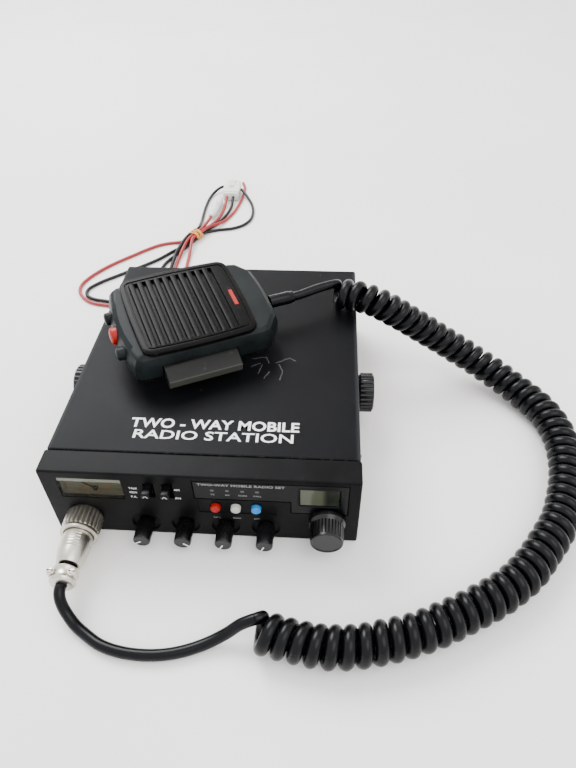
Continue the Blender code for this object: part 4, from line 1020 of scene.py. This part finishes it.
def make_lead_connector():
    """Two-way nylon connector: a sleeve, the plug in it, a latch and two wire entries."""
    low, high = (Vector(v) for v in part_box("lead_connector"))
    x0, y0, z0 = low
    x1, y1, z1 = high
    middle = (x0 + x1) / 2
    parts = [
        block((x0, y0 + 0.0020, z0), (x1, y0 + 0.0150, z1), 0.0008),
        block((x0 + 0.0010, y0, z0 + 0.0009), (x1 - 0.0010, y0 + 0.0026, z1 - 0.0009), 0.0005),
        block((x0 + 0.0012, y0 + 0.0148, z0 + 0.0008), (x1 - 0.0012, y1, z1 - 0.0008), 0.0007),
        block((middle - 0.0022, y0 + 0.0090, z1 - 0.0010), (middle + 0.0022, y0 + 0.0230, z1), 0.0003),
        block((middle - 0.0030, y0 + 0.0215, z1 - 0.0011), (middle + 0.0030, y0 + 0.0245, z1), 0.0003),
    ]
    for x in (x0 + 0.0006, x1 - 0.0010):
        for y in (y0 + 0.0045, y0 + 0.0075, y0 + 0.0105):
            parts.append(block((x - 0.0006, y, z0 + 0.0015), (x + 0.0010, y + 0.0014, z1 - 0.0012),
                               0.0002, 1))
    mesh = joined("connector", [(part, NYLON) for part in parts])
    return keep("lead_connector_body", mesh, "set", None, ("lead_connector",))


bundle_band = make_band()
fuse_barrel = make_fuse_holder()
connector = make_lead_connector()

# %% [markdown]
# ## Plug
#
# The screw-on microphone plug is nickel plated: a ribbed nut with a bright rim, a shell with
# short pull ribs, a neck and a clamp with two screws. All are turned on one axis that stands
# out of the front panel.


# %% The microphone plug
def make_nut():
    axis = out_of_front(SOCKET.x, SOCKET.z)
    profile = [(0.0074, 0.0124), (0.0086, 0.0124), (0.0091, 0.0121), (0.0092, 0.0114), (0.0090, 0.0106),
               (0.0086, 0.0102), (0.0085, 0.0098), (0.0085, 0.0014), (0.0083, 0.0007), (0.0082, 0.0006),
               (0.0082, 0.0110), (0.0074, 0.0110)]
    body = (spun(profile, 64, axis, closed=True), NICKEL)
    flutes = (grown(RING, axis @ Matrix.Translation((0, 0, 0.0056)), Count=24, Ring_radius=0.0083,
                    Rib_radius=0.00080, Length=0.0086, Finish=NICKEL.material), NICKEL)
    return keep("coupling_nut", joined("nut", [body, flutes]), "plug_coupling_nut", None,
                ("plug_coupling_nut",))


def make_plug_shell():
    axis = out_of_front(SOCKET.x, SOCKET.z)
    profile = [(0.0, 0.0285), (0.0048, 0.0285), (0.0054, 0.0283), (0.0057, 0.0278),
               (0.0062, 0.0262), (0.0067, 0.0236), (0.0070, 0.0205), (0.0071, 0.0190), (0.0071, 0.0136),
               (0.0070, 0.0132), (0.0070, 0.0109), (0.0078, 0.0107), (0.0078, 0.0088), (0.0, 0.0088)]
    # painted shade: the neck is a near-black ring where the gap between shell and clamp lies in shade
    neck = [(0.0, 0.0305), (0.0044, 0.0305), (0.0044, 0.0280), (0.0, 0.0280)]
    parts = [(spun(profile, 56, axis), NICKEL), (spun(neck, 40, axis), PAINTED_SHADE)]
    for i in range(5):
        height = 0.0146 + 0.0015 * i
        for middle in (math.pi / 2, -math.pi / 2):
            arc = []
            for k in range(11):
                a = middle + (k - 5) * 0.11
                arc.append(axis @ Vector((0.00700 * math.cos(a), 0.00700 * math.sin(a), height)))
            parts.append((tube_along(arc, 0.00048, 8), NICKEL))
    return keep("plug_barrel", joined("barrel", parts), "set", None, ("plug_shell",))


def screw_head(matrix, radius=0.0016, height=0.0009):
    """A turned pan head, with a dark bar across it as painted shade for its straight slot."""
    profile = [(0.0, height), (radius * 0.55, height * 0.96), (radius * 0.88, height * 0.70),
               (radius, height * 0.25), (radius, -0.0006), (0.0, -0.0006)]
    long, half = radius * 0.86, radius * 0.17
    head = spun(profile, 28, matrix)
    # painted shade: a near-black bar stands for the slot's shaded hollow
    slot = block((-long, -half, height * 0.55), (long, half, height + 0.00002), 0.0, 1, matrix)
    return [(head, NICKEL), (slot, PAINTED_SHADE)]


def make_clamp():
    axis = out_of_front(SOCKET.x, SOCKET.z)
    profile = [(0.0027, 0.0380), (0.0045, 0.0380), (0.0053, 0.0378), (0.0060, 0.0370), (0.0062, 0.0362),
               (0.0058, 0.0356), (0.0055, 0.0350), (0.0055, 0.0322), (0.0059, 0.0315), (0.0060, 0.0308),
               (0.0056, 0.0303), (0.0, 0.0303)]
    parts = [(spun(profile, 48, axis), NICKEL)]
    for side in (-1, 1):
        ear = axis @ Matrix.Translation((side * 0.0050, 0.0030, 0.0340))
        post = [(0.0, 0.0026), (0.0016, 0.0026), (0.0019, 0.0023), (0.0019, -0.0030), (0.0, -0.0030)]
        stand = ear @ Matrix.Rotation(-math.pi / 2, 4, "X")
        parts.append((spun(post, 24, stand), NICKEL))
        parts += screw_head(stand @ Matrix.Translation((0, 0, 0.0024)), 0.00155, 0.0007)
    return keep("cable_clamp", joined("clamp", parts), "set", None, ("plug_clamp",))


coupling_nut = make_nut()
plug_barrel = make_plug_shell()
cable_clamp = make_clamp()

# %% [markdown]
# A cord is one fixed length of something flexible. The length of each one is worked out here,
# the microphone's cord from the microphone to the plug, length by length, but the result is
# not kept.


# %% The cords' facts
def declare_cord(part):
    path = LENGTHS[part][::-1]
    round(length_of(path), 3)


declare_cord("tail")
declare_cord("lifted")
declare_cord("resting")
declare_cord("straight")


def declare_wire(wire):
    piece, path = wire
    round(length_of(path), 3)


declare_wire(set_red)
declare_wire(set_black)
declare_wire(lead_red)
declare_wire(lead_black)

# %% [markdown]
# ## Covers and front
#
# The folded covers and the moulded front keep the model's shape. Their copies get rounded
# edges, because a hard corner never catches the light as a painted or moulded one does.

# %% Covers, bezel and plate
def keep_refined(name, node, width, body, finish, segments=2):
    """A node's own shape with rounded edges, kept in its place."""
    return keep(name, refined(node, width, segments), body, finish, (node,))


keep_refined("top_cover_folded", "top_cover", 0.0004, "set", ENAMEL)
keep_refined("bottom_cover_folded", "bottom_cover", 0.0003, "set", ENAMEL)
keep_refined("bezel_moulding", "front_bezel", 0.00025, "set", BEZEL)
keep_refined("plate_moulding", "indicator_plate", 0.0002, "set", PLATE)


# %% Printed words
PRINT_THICK = 0.00004
PRINT_LIFT = 0.00003        # how far the print's middle stands off its surface
LETTER_EXTRUDE = 0.02


def words_mesh(words, low, high, y_or_z, upright, weight=0.012):
    """Raised print that fills a rectangle; upright print faces the front, the rest faces up."""
    curve = bpy.data.curves.new("words", "FONT")
    curve.body = words
    curve.offset = weight
    curve.extrude = LETTER_EXTRUDE
    curve.resolution_u = 3
    text = bpy.data.objects.new("words", curve)
    bpy.context.scene.collection.objects.link(text)
    mesh = evaluated(text)
    xs = [v.co.x for v in mesh.vertices]
    ys = [v.co.y for v in mesh.vertices]
    across = (high[0] - low[0]) / (max(xs) - min(xs))
    tall = (high[1] - low[1]) / (max(ys) - min(ys))
    thick = PRINT_THICK / (2 * LETTER_EXTRUDE)
    size = Matrix.Diagonal((across, tall, thick, 1.0))
    mesh.transform(size @ Matrix.Translation((-min(xs), -min(ys), 0.0)))
    if upright:
        mesh.transform(out_of_front(low[0], low[1], y_or_z))
    else:
        mesh.transform(Matrix.Translation((low[0], low[1], y_or_z)))
    return mesh


def make_cover_words():
    """Two lines of large print on the cover."""
    lift = TOP + PRINT_LIFT
    parts = [
        (words_mesh("TWO - WAY MOBILE", (-0.0380, -0.0564), (0.0450, -0.0501), lift, False, 0.022), PRINT),
        (words_mesh("RADIO STATION", (-0.0350, -0.0635), (0.0425, -0.0579), lift, False, 0.012), PRINT),
    ]
    return keep("cover_print", joined("print", parts), "set")


def make_front_words():
    """Small labels: beside the levers, over the lamps and under the buttons."""
    face = FRONT - PRINT_LIFT
    bright = [("TALK", -0.0330, 0.0356, 0.0040), ("MON", -0.0330, 0.0325, 0.0034),
              ("P.A.", -0.0330, 0.0291, 0.0030), ("AM", -0.0117, 0.0356, 0.0026),
              ("FM", -0.0117, 0.0291, 0.0024)]
    dim = [("TX", 0.0052, 0.0335, 0.0020), ("RX", 0.0122, 0.0335, 0.0020),
           ("SCAN", 0.0182, 0.0335, 0.0040), ("CALL", 0.0252, 0.0335, 0.0038),
           ("CALL", 0.0050, 0.0154, 0.0034), ("SCAN", 0.0145, 0.0154, 0.0038),
           ("DIM", 0.0247, 0.0154, 0.0028)]
    heading = words_mesh("TWO-WAY MOBILE RADIO SET", (-0.0005, 0.0404), (0.0400, 0.0420), face, True, 0.02)
    parts = [(heading, DIM_PRINT)]
    for words, x, z, wide in bright:
        parts.append((words_mesh(words, (x, z), (x + wide, z + 0.0013), face, True, 0.0), PRINT))
    for words, x, z, wide in dim:
        parts.append((words_mesh(words, (x, z), (x + wide, z + 0.0010), face, True, 0.01), DIM_PRINT))
    for x in (0.0062, 0.0132, 0.0202, 0.0271):
        lamp = block((x - 0.0009, face - 0.0001, 0.0364), (x + 0.0009, face + 0.0002, 0.0378), 0.0001, 1)
        parts.append((lamp, LENS))
    return keep("front_print", joined("print", parts), "set")


make_cover_words()
make_front_words()


# %% [markdown]
# ## Knobs
#
# A small knob is a ribbed cylinder with a chamfered nose and a white pointer that runs down
# its side and across its nose. The channel knob is the same idea, larger, with a skirt.


# %% Four small knobs and the channel knob
def pointer(axis, clock, radius, length, nose, finish):
    """A white line across the nose and down the side, at an angle clockwise from the top."""
    turn = axis @ Matrix.Rotation(-clock, 4, "Z")
    half = 0.00030
    end = block((-half, radius * nose, length - 0.0003), (half, radius - 0.0002, length + 0.00006),
                0.0, 1, turn)
    side = block((-half, radius - 0.0003, length * 0.35), (half, radius + 0.00016, length - 0.0004),
                 0.0, 1, turn)
    return [(end, finish), (side, finish)]


def make_small_knob(name, node, x, clock):
    axis = out_of_front(x, KNOB_Z)
    foot = -0.0006
    profile = [(0.0, 0.01085), (0.0030, 0.01085), (0.0032, 0.0110), (0.0037, 0.0110), (0.0040, 0.01085),
               (0.00415, 0.0104), (0.00415, 0.0066), (0.0040, 0.0064), (0.0040, foot + 0.0003),
               (0.0038, foot), (0.0030, foot), (0.0030, -0.0060), (0.0, -0.0060)]
    ribs = grown(RING, axis @ Matrix.Translation((0, 0, 0.0030)), Count=20, Ring_radius=0.0039,
                 Rib_radius=0.00035, Length=0.0062, Finish=KNOB.material)
    parts = [(spun(profile, 48, axis), KNOB), (ribs, KNOB)]
    parts += pointer(axis, clock, 0.00415, 0.0110, 0.15, PRINT)
    return keep(name, joined(name, parts), node, None, (node,))


CLOCKS = (math.radians(238), math.radians(128), math.radians(208), math.radians(205))
for word, x, clock in zip(KNOB_NAMES, KNOB_X, CLOCKS):
    make_small_knob(f"{word}_grip", f"{word}_knob", x, clock)


def make_channel_knob():
    axis = out_of_front(CHANNEL_X, CHANNEL_Z)
    profile = [(0.0, 0.0130), (0.0064, 0.0130), (0.0068, 0.0133), (0.0073, 0.0133), (0.0076, 0.0130),
               (0.0077, 0.0124), (0.00775, 0.0046), (0.0082, 0.0038), (0.0087, 0.0032), (0.0089, 0.0027),
               (0.0089, 0.0008), (0.0086, 0.0005), (0.0030, 0.0005), (0.0030, -0.0060), (0.0, -0.0060)]
    ribs = grown(RING, axis @ Matrix.Translation((0, 0, 0.0081)), Count=30, Ring_radius=0.00755,
                 Rib_radius=0.0004, Length=0.0074, Finish=KNOB.material)
    parts = [(spun(profile, 72, axis), KNOB), (ribs, KNOB)]
    return keep("channel_grip", joined("channel", parts), "channel_knob", None,
                ("channel_knob",))


make_channel_knob()


def knob_rims():
    """Raised rings round the knobs' recesses."""
    profile = [(0.0070, 0.0), (0.0072, 0.00012), (0.0075, 0.00012), (0.0077, 0.0), (0.0077, -0.0002),
               (0.0070, -0.0002)]
    parts = [(spun(profile, 56, out_of_front(x, KNOB_Z), closed=True), BEZEL) for x in KNOB_X]
    return keep("recess_rims", joined("rims", parts), "set")


knob_rims()


# %% [markdown]
# ## Levers, buttons and windows
#
# The two levers slide in slots, and three coloured buttons stand in a row under the plate.
# A lever is two rounded blocks, and a button is a turned dome whose edge has no corner.
# The windows keep the model's flat panes, and get a finish and a frame.


# %% Levers with their marks, and domed buttons
def make_lever(name, node):
    low, high = (Vector(v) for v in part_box(node))
    stem = block((low.x + 0.0004, low.y + 0.0024, low.z + 0.0003),
                 (high.x - 0.0004, high.y, high.z - 0.0003), 0.0003)
    tip = block(low, (high.x, low.y + 0.0044, high.z), 0.0006)
    parts = [(stem, PLATE), (tip, PLATE)]
    middle = (low.x + high.x) / 2
    for side in (-1, 1):
        place = Matrix.Translation((middle + side * 0.0006, low.y - 0.00002, low.z + 0.0012))
        tilt = place @ Matrix.Rotation(side * math.radians(-38), 4, "Y")
        parts.append((block((-0.0001, 0.0, -0.0008), (0.0001, 0.0002, 0.0008), 0.0, 1, tilt), PRINT))
    for height in (0.25, 0.50, 0.75):
        z = low.z + (high.z - low.z) * height
        ridge = block((low.x + 0.0004, low.y + 0.0006, z - 0.00015),
                      (high.x + 0.00005, low.y + 0.0036, z + 0.00015), 0.0001, 1)
        parts.append((ridge, PLATE))
    return keep(name, joined(name, parts), node, None, (node,))


make_lever("mode_lever_tip", "mode_lever")
make_lever("band_lever_tip", "band_lever")


def make_button(name, node, finish):
    low, high = (Vector(v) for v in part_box(node))
    radius = (high.x - low.x) / 2
    reach = FRONT - low.y
    axis = out_of_front((low.x + high.x) / 2, (low.z + high.z) / 2)
    profile = [(0.0, reach)]
    for k in range(1, 7):
        a = math.pi / 2 * k / 6
        profile.append((radius * math.sin(a) ** 0.8, reach - 0.0010 * (1 - math.cos(a))))
    profile += [(radius, -(high.y - FRONT)), (0.0, -(high.y - FRONT))]
    return keep(name, spun(profile, 40, axis), node, finish, (node,))


make_button("red_button_cap", "red_button", RED)
make_button("white_button_cap", "white_button", WHITE)
make_button("blue_button_cap", "blue_button", BLUE)


# %% Frame round the display, and the windows' finishes
def make_display_trim():
    """A raised frame round the display."""
    low, high = (Vector(v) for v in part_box("lcd_window"))
    rings = []
    for grow, out in ((0.0006, 0.0), (0.0008, 0.00025), (0.0011, 0.00025), (0.0013, 0.0)):
        outline = superellipse((high.x - low.x) / 2 + grow, (high.z - low.z) / 2 + grow, 16, 64)
        rings.append([((low.x + high.x) / 2 + x, FRONT - out, (low.z + high.z) / 2 + z) for x, z in outline])
    trim = lofted(rings, None, (False, False))
    return keep("display_trim", joined("trims", [(trim, PLATE)]), "set")


make_display_trim()
NODES["meter_window"].material_slots[0].material = METER_PANE.material
NODES["meter_movement"].material_slots[0].material = CARD.material
NODES["lcd_window"].material_slots[0].material = DISPLAY_PANE.material

# %% [markdown]
# ## Microphone
#
# The case is two shells of grey-green plastic. On it lies a black ribbed plate with a fine
# groove inside its edge. The plate's outline is a rectangle with round corners and slightly
# bowed sides. One function gives it for every step of the edge, each a little further in.

# %% Case
keep_refined("case_front", "mic_front_shell", 0.0006, "microphone", SHELL, 3)
keep_refined("case_back", "mic_back_shell", 0.0006, "microphone", SHELL, 3)
keep_refined("talk_bar", "ptt_bar", 0.0005, "ptt_bar", TALK, 3)


# %% Grille plate
def make_grille():
    half_x, half_y, thick = 0.0312, 0.0292, 0.0027
    steps = [(0.0004, -thick), (0.0, -thick + 0.0004), (0.0, -0.0009), (0.0003, -0.0003), (0.0010, 0.0),
             (0.0026, 0.0), (0.0028, -0.0005), (0.0034, -0.0005), (0.0036, -0.0001), (0.0046, 0.0)]
    rings = []
    for inset, z in steps:
        outline = barrel(half_x - inset, half_y - inset, 0.0052 - inset, 0.0011)
        rings.append([(x, y, z) for x, y in outline])
    left, right, side = -0.0273, 0.0212, 0.0242
    for x_half, z in (((right - left) / 2, 0.0), ((right - left) / 2, -0.0019)):
        outline = barrel(x_half, side, 0.0004, 0.0002)
        rings.append([((left + right) / 2 + x, y, z) for x, y in outline])
    plate = lofted(rings, MIC, (True, True), 28.0)
    pitch = 0.0046
    ribs = grown(ROW, MIC, Count=10, First=(-0.0262 + pitch / 2, 0.0, -0.0011), Step=(pitch, 0.0, 0.0),
                 Half_length=(0.0, 0.0247, 0.0), Width=0.0030, Height=0.0022, Rounding=0.0005,
                 Finish=GRILLE.material)
    badge = block((0.0240, -0.0085, -0.0004), (0.0262, 0.0035, 0.00012), 0.0001, 1, MIC)
    mesh = joined("grille", [(plate, GRILLE), (ribs, GRILLE), (badge, RED)])
    return keep("grille_plate", mesh, "microphone", None, ("mic_grille",))


make_grille()


# %% End buttons, stud and strain relief
def make_end_button(name, node, y, radius, finish, dimple):
    axis = MIC @ Matrix.Translation((-0.0395, y, -0.0100)) @ Matrix.Rotation(-math.pi / 2, 4, "Y")
    reach = 0.0030
    profile = [(0.0, reach - dimple)]
    for k in range(1, 8):
        a = math.pi / 2 * k / 7
        height = reach - 0.0017 * (1 - math.cos(a)) - dimple * math.cos(a) ** 4
        profile.append((radius * math.sin(a) ** 0.85, height))
    profile += [(radius, -0.0055), (0.0, -0.0055)]
    return keep(name, spun(profile, 44, axis), node, finish, (node,))


make_end_button("up_cap", "mic_up_button", 0.0122, 0.0034, SHELL, 0.0002)
make_end_button("red_cap", "mic_red_button", -0.0010, 0.0046, RED, 0.0)
make_end_button("down_cap", "mic_down_button", -0.0142, 0.0034, SHELL, 0.0002)


def make_relief():
    """A rubber sleeve with a thick root, a step and a soft lip."""
    axis = MIC @ Matrix.Translation((0.0473, -0.0020, -0.0110)) @ Matrix.Rotation(math.pi / 2, 4, "Y")
    profile = [(0.0, 0.0145), (0.0030, 0.0145), (0.0033, 0.0142), (0.0034, 0.0124), (0.0036, 0.0120),
               (0.0037, 0.0112), (0.0036, 0.0060), (0.0037, 0.0008), (0.0036, 0.0), (0.0, 0.0)]
    return keep("cable_sleeve", spun(profile, 40, axis), "microphone", CABLE,
                ("mic_strain_relief",))


def make_stud():
    low = -0.0223
    profile = [(0.0, low), (0.0045, low), (0.0045, low - 0.0019), (0.0064, low - 0.0021),
               (0.0068, low - 0.0025), (0.0068, low - 0.0037), (0.0064, low - 0.0044),
               (0.0056, low - 0.0050), (0.0, low - 0.0050)]
    place = MIC @ Matrix.Translation((-0.002, 0.0, 0.0))
    return keep("hang_stud", spun(profile, 48, place), "microphone", NICKEL, ("hang_up_stud",))


make_relief()
make_stud()


# %% [markdown]
# ## Thumbscrews, sides and rear
#
# Black thumbscrews hold the set in its bracket. The rear has the antenna socket, a jack and
# the gland of the power wires. Small screws hold the covers to the frame.


# %% Thumbscrews
def make_thumbscrew(name, node, side):
    turn = Matrix.Rotation(side * math.pi / 2, 4, "Y")
    axis = Matrix.Translation((side * (HALF + 0.0006), THUMBSCREW_Y, THUMBSCREW_Z)) @ turn
    profile = [(0.0, 0.0072), (0.0060, 0.0072), (0.0068, 0.0080), (0.0085, 0.0085), (0.0098, 0.0084),
               (0.0103, 0.0078), (0.0103, 0.0010), (0.0098, 0.0002), (0.0060, 0.0), (0.0025, 0.0),
               (0.0025, -0.0054), (0.0, -0.0054)]
    ribs = grown(RING, axis @ Matrix.Translation((0, 0, 0.0044)), Count=26, Ring_radius=0.0102,
                 Rib_radius=0.0008, Length=0.0066, Finish=KNOB.material)
    mesh = joined(name, [(spun(profile, 56, axis), KNOB), (ribs, KNOB)])
    return keep(name, mesh, node, None, (node,))


make_thumbscrew("left_grip", "thumbscrew_left", -1)
make_thumbscrew("right_grip", "thumbscrew_right", 1)


# %% Rear fittings
def facing_rear(x, z):
    return Matrix.Translation((x, REAR, z)) @ Matrix.Rotation(-math.pi / 2, 4, "X")


def make_antenna_socket():
    axis = facing_rear(ANTENNA_X, ANTENNA_Z)
    profile = [(0.0, 0.0120), (0.0044, 0.0120), (0.0044, 0.0152), (0.0047, 0.0155), (0.0074, 0.0155)]
    height = 0.0151
    while height > 0.0034:
        profile += [(0.0078, height), (0.0074, height - 0.0004)]
        height -= 0.0008
    profile += [(0.0078, 0.0027), (0.0092, 0.0026), (0.0092, 0.0003), (0.0076, 0.0003),
                (0.0076, -0.0060), (0.0, -0.0060)]
    insulator = [(0.0, 0.0126), (0.0040, 0.0126), (0.0043, 0.0123), (0.0043, 0.0118), (0.0, 0.0118)]
    contact = [(0.0, 0.0122), (0.0009, 0.0122), (0.0010, 0.0132), (0.0017, 0.0132), (0.0017, 0.0118),
               (0.0, 0.0118)]
    parts = [(spun(profile, 56, axis), NICKEL), (spun(insulator, 40, axis), NYLON),
             (spun(contact, 24, axis), BRASS)]
    for across in (-0.0115, 0.0115):
        spot = facing_rear(ANTENNA_X + across, ANTENNA_Z) @ Matrix.Translation((0, 0, 0.0006))
        parts += screw_head(spot, 0.0018, 0.0010)
    return keep("antenna_fitting", joined("antenna", parts), "set", None, ("antenna_socket",))


def make_jack():
    axis = facing_rear(JACK_X, JACK_Z)
    profile = [(0.0, -0.0040), (0.0018, -0.0040), (0.0018, 0.0031), (0.0021, 0.0034), (0.0030, 0.0034),
               (0.0032, 0.0031), (0.0032, 0.0022), (0.0050, 0.0022), (0.0052, 0.0020), (0.0052, 0.0003),
               (0.0032, 0.0003), (0.0032, -0.0070), (0.0, -0.0070)]
    ribs = grown(RING, axis @ Matrix.Translation((0, 0, 0.0012)), Count=24, Ring_radius=0.0050,
                 Rib_radius=0.0003, Length=0.0016, Finish=NICKEL.material)
    mesh = joined("jack", [(spun(profile, 48, axis), NICKEL), (ribs, NICKEL)])
    return keep("jack_fitting", mesh, "set", None, ("speaker_jack",))


def make_gland():
    axis = facing_rear(GLAND_X, GLAND_Z)
    profile = [(0.0, 0.0060), (0.0034, 0.0060), (0.0038, 0.0056), (0.0040, 0.0050), (0.0037, 0.0046),
               (0.0042, 0.0040), (0.0040, 0.0035), (0.0045, 0.0029), (0.0044, 0.0024), (0.0055, 0.0018),
               (0.0056, 0.0003), (0.0042, 0.0003), (0.0042, -0.0040), (0.0, -0.0040)]
    return keep("wire_gland", spun(profile, 40, axis), "set", CABLE, ("power_gland",))


make_antenna_socket()
make_jack()
make_gland()


# %% Cover screws
def make_cover_screws():
    parts = []
    side_face = HALF - 0.0005
    for side in (-1, 1):
        for y in (-0.0600, 0.0700):
            for z in (0.0330, 0.0120):
                turn = Matrix.Rotation(side * math.pi / 2, 4, "Y")
                parts += screw_head(Matrix.Translation((side * side_face, y, z)) @ turn, 0.0026, 0.0011)
    for x in (-0.0660, 0.0660):
        for z in (0.0060, 0.0390):
            parts += screw_head(facing_rear(x, z), 0.0024, 0.0010)
    return keep("cover_screws", joined("screws", parts), "set")


make_cover_screws()

# %% [markdown]
# ## Finishes on the parts that keep their own shape
#
# What is inside the set, or is already the right shape, keeps its mesh and gets a finish.

# %% Plain nodes
PLAIN = {
    ZINC: ["chassis", "volume_control", "squelch_control", "tone_control", "microphone_gain_control",
           "channel_switch", "slide_switches", "mic_capsule"],
    NICKEL: ["mic_socket"],
    PLATE: ["lcd_module", "button_switches"],
    KNOB: ["meter_needle"],
    BOARD: ["main_board", "mic_board"],
    CONE: ["speaker"],
}
for finish, names in PLAIN.items():
    for name in names:
        NODES[name].material_slots[0].material = finish.material
print("plain nodes dressed:", sum(len(names) for names in PLAIN.values()))

# %% [markdown]
# ## Floor and light
#
# The set stands on a pale table that curves up into a pale wall. The light is broad and
# soft, from above and a little behind, with a weaker one from the front.


# %% Floor and light
def make_floor():
    bm = bmesh.new()
    bend, radius, half, back = 0.95, 0.50, 3.0, 24
    rows = [(-3.0, 0.0), (bend, 0.0)]
    for k in range(1, back + 1):
        a = math.pi / 2 * k / back
        rows.append((bend + radius * math.sin(a), radius * (1 - math.cos(a))))
    rows.append((bend + radius, 3.0))
    lines = [[bm.verts.new((x, y, z)) for x in (-half, half)] for y, z in rows]
    for low, high in zip(lines, lines[1:]):
        bm.faces.new((low[0], low[1], high[1], high[0]))
    floor = bpy.data.objects.new("table", to_mesh(bm, "table"))
    bpy.context.scene.collection.objects.link(floor)
    cloth = Finish("table_paper", (0.80, 0.775, 0.755), 0.65)
    cloud = cloth.noise(cloth.spot(), 5.0, 4.0)
    cloth.paint("Base Color", cloth.mix(cloud.ramp(0.3, 0.7), (0.84, 0.818, 0.792), (0.88, 0.862, 0.840)))
    floor.data.materials.append(cloth.material)
    return floor


def soft_light(name, place, target, size, power, tint=(1.0, 1.0, 1.0)):
    lamp = bpy.data.lights.new(name, "AREA")
    lamp.shape = "DISK"
    lamp.size = size
    lamp.energy = power
    lamp.color = tint
    obj = bpy.data.objects.new(name, lamp)
    bpy.context.scene.collection.objects.link(obj)
    obj.location = place
    obj.rotation_euler = (Vector(target) - Vector(place)).to_track_quat("-Z", "Y").to_euler()
    return obj


make_floor()
soft_light("window_light", (-0.55, 0.75, 1.10), (0.05, 0.0, 0.0), 0.9, 32.0, (0.97, 0.985, 1.0))
soft_light("room_light", (0.60, -0.50, 1.30), (0.0, 0.0, 0.0), 1.2, 12.0, (1.0, 0.985, 0.965))
sky = bpy.data.worlds.new("room")
sky.use_nodes = True
sky.node_tree.nodes["Background"].inputs["Color"].default_value = (0.965, 0.975, 1.0, 1.0)
sky.node_tree.nodes["Background"].inputs["Strength"].default_value = 2.0
bpy.context.scene.world = sky
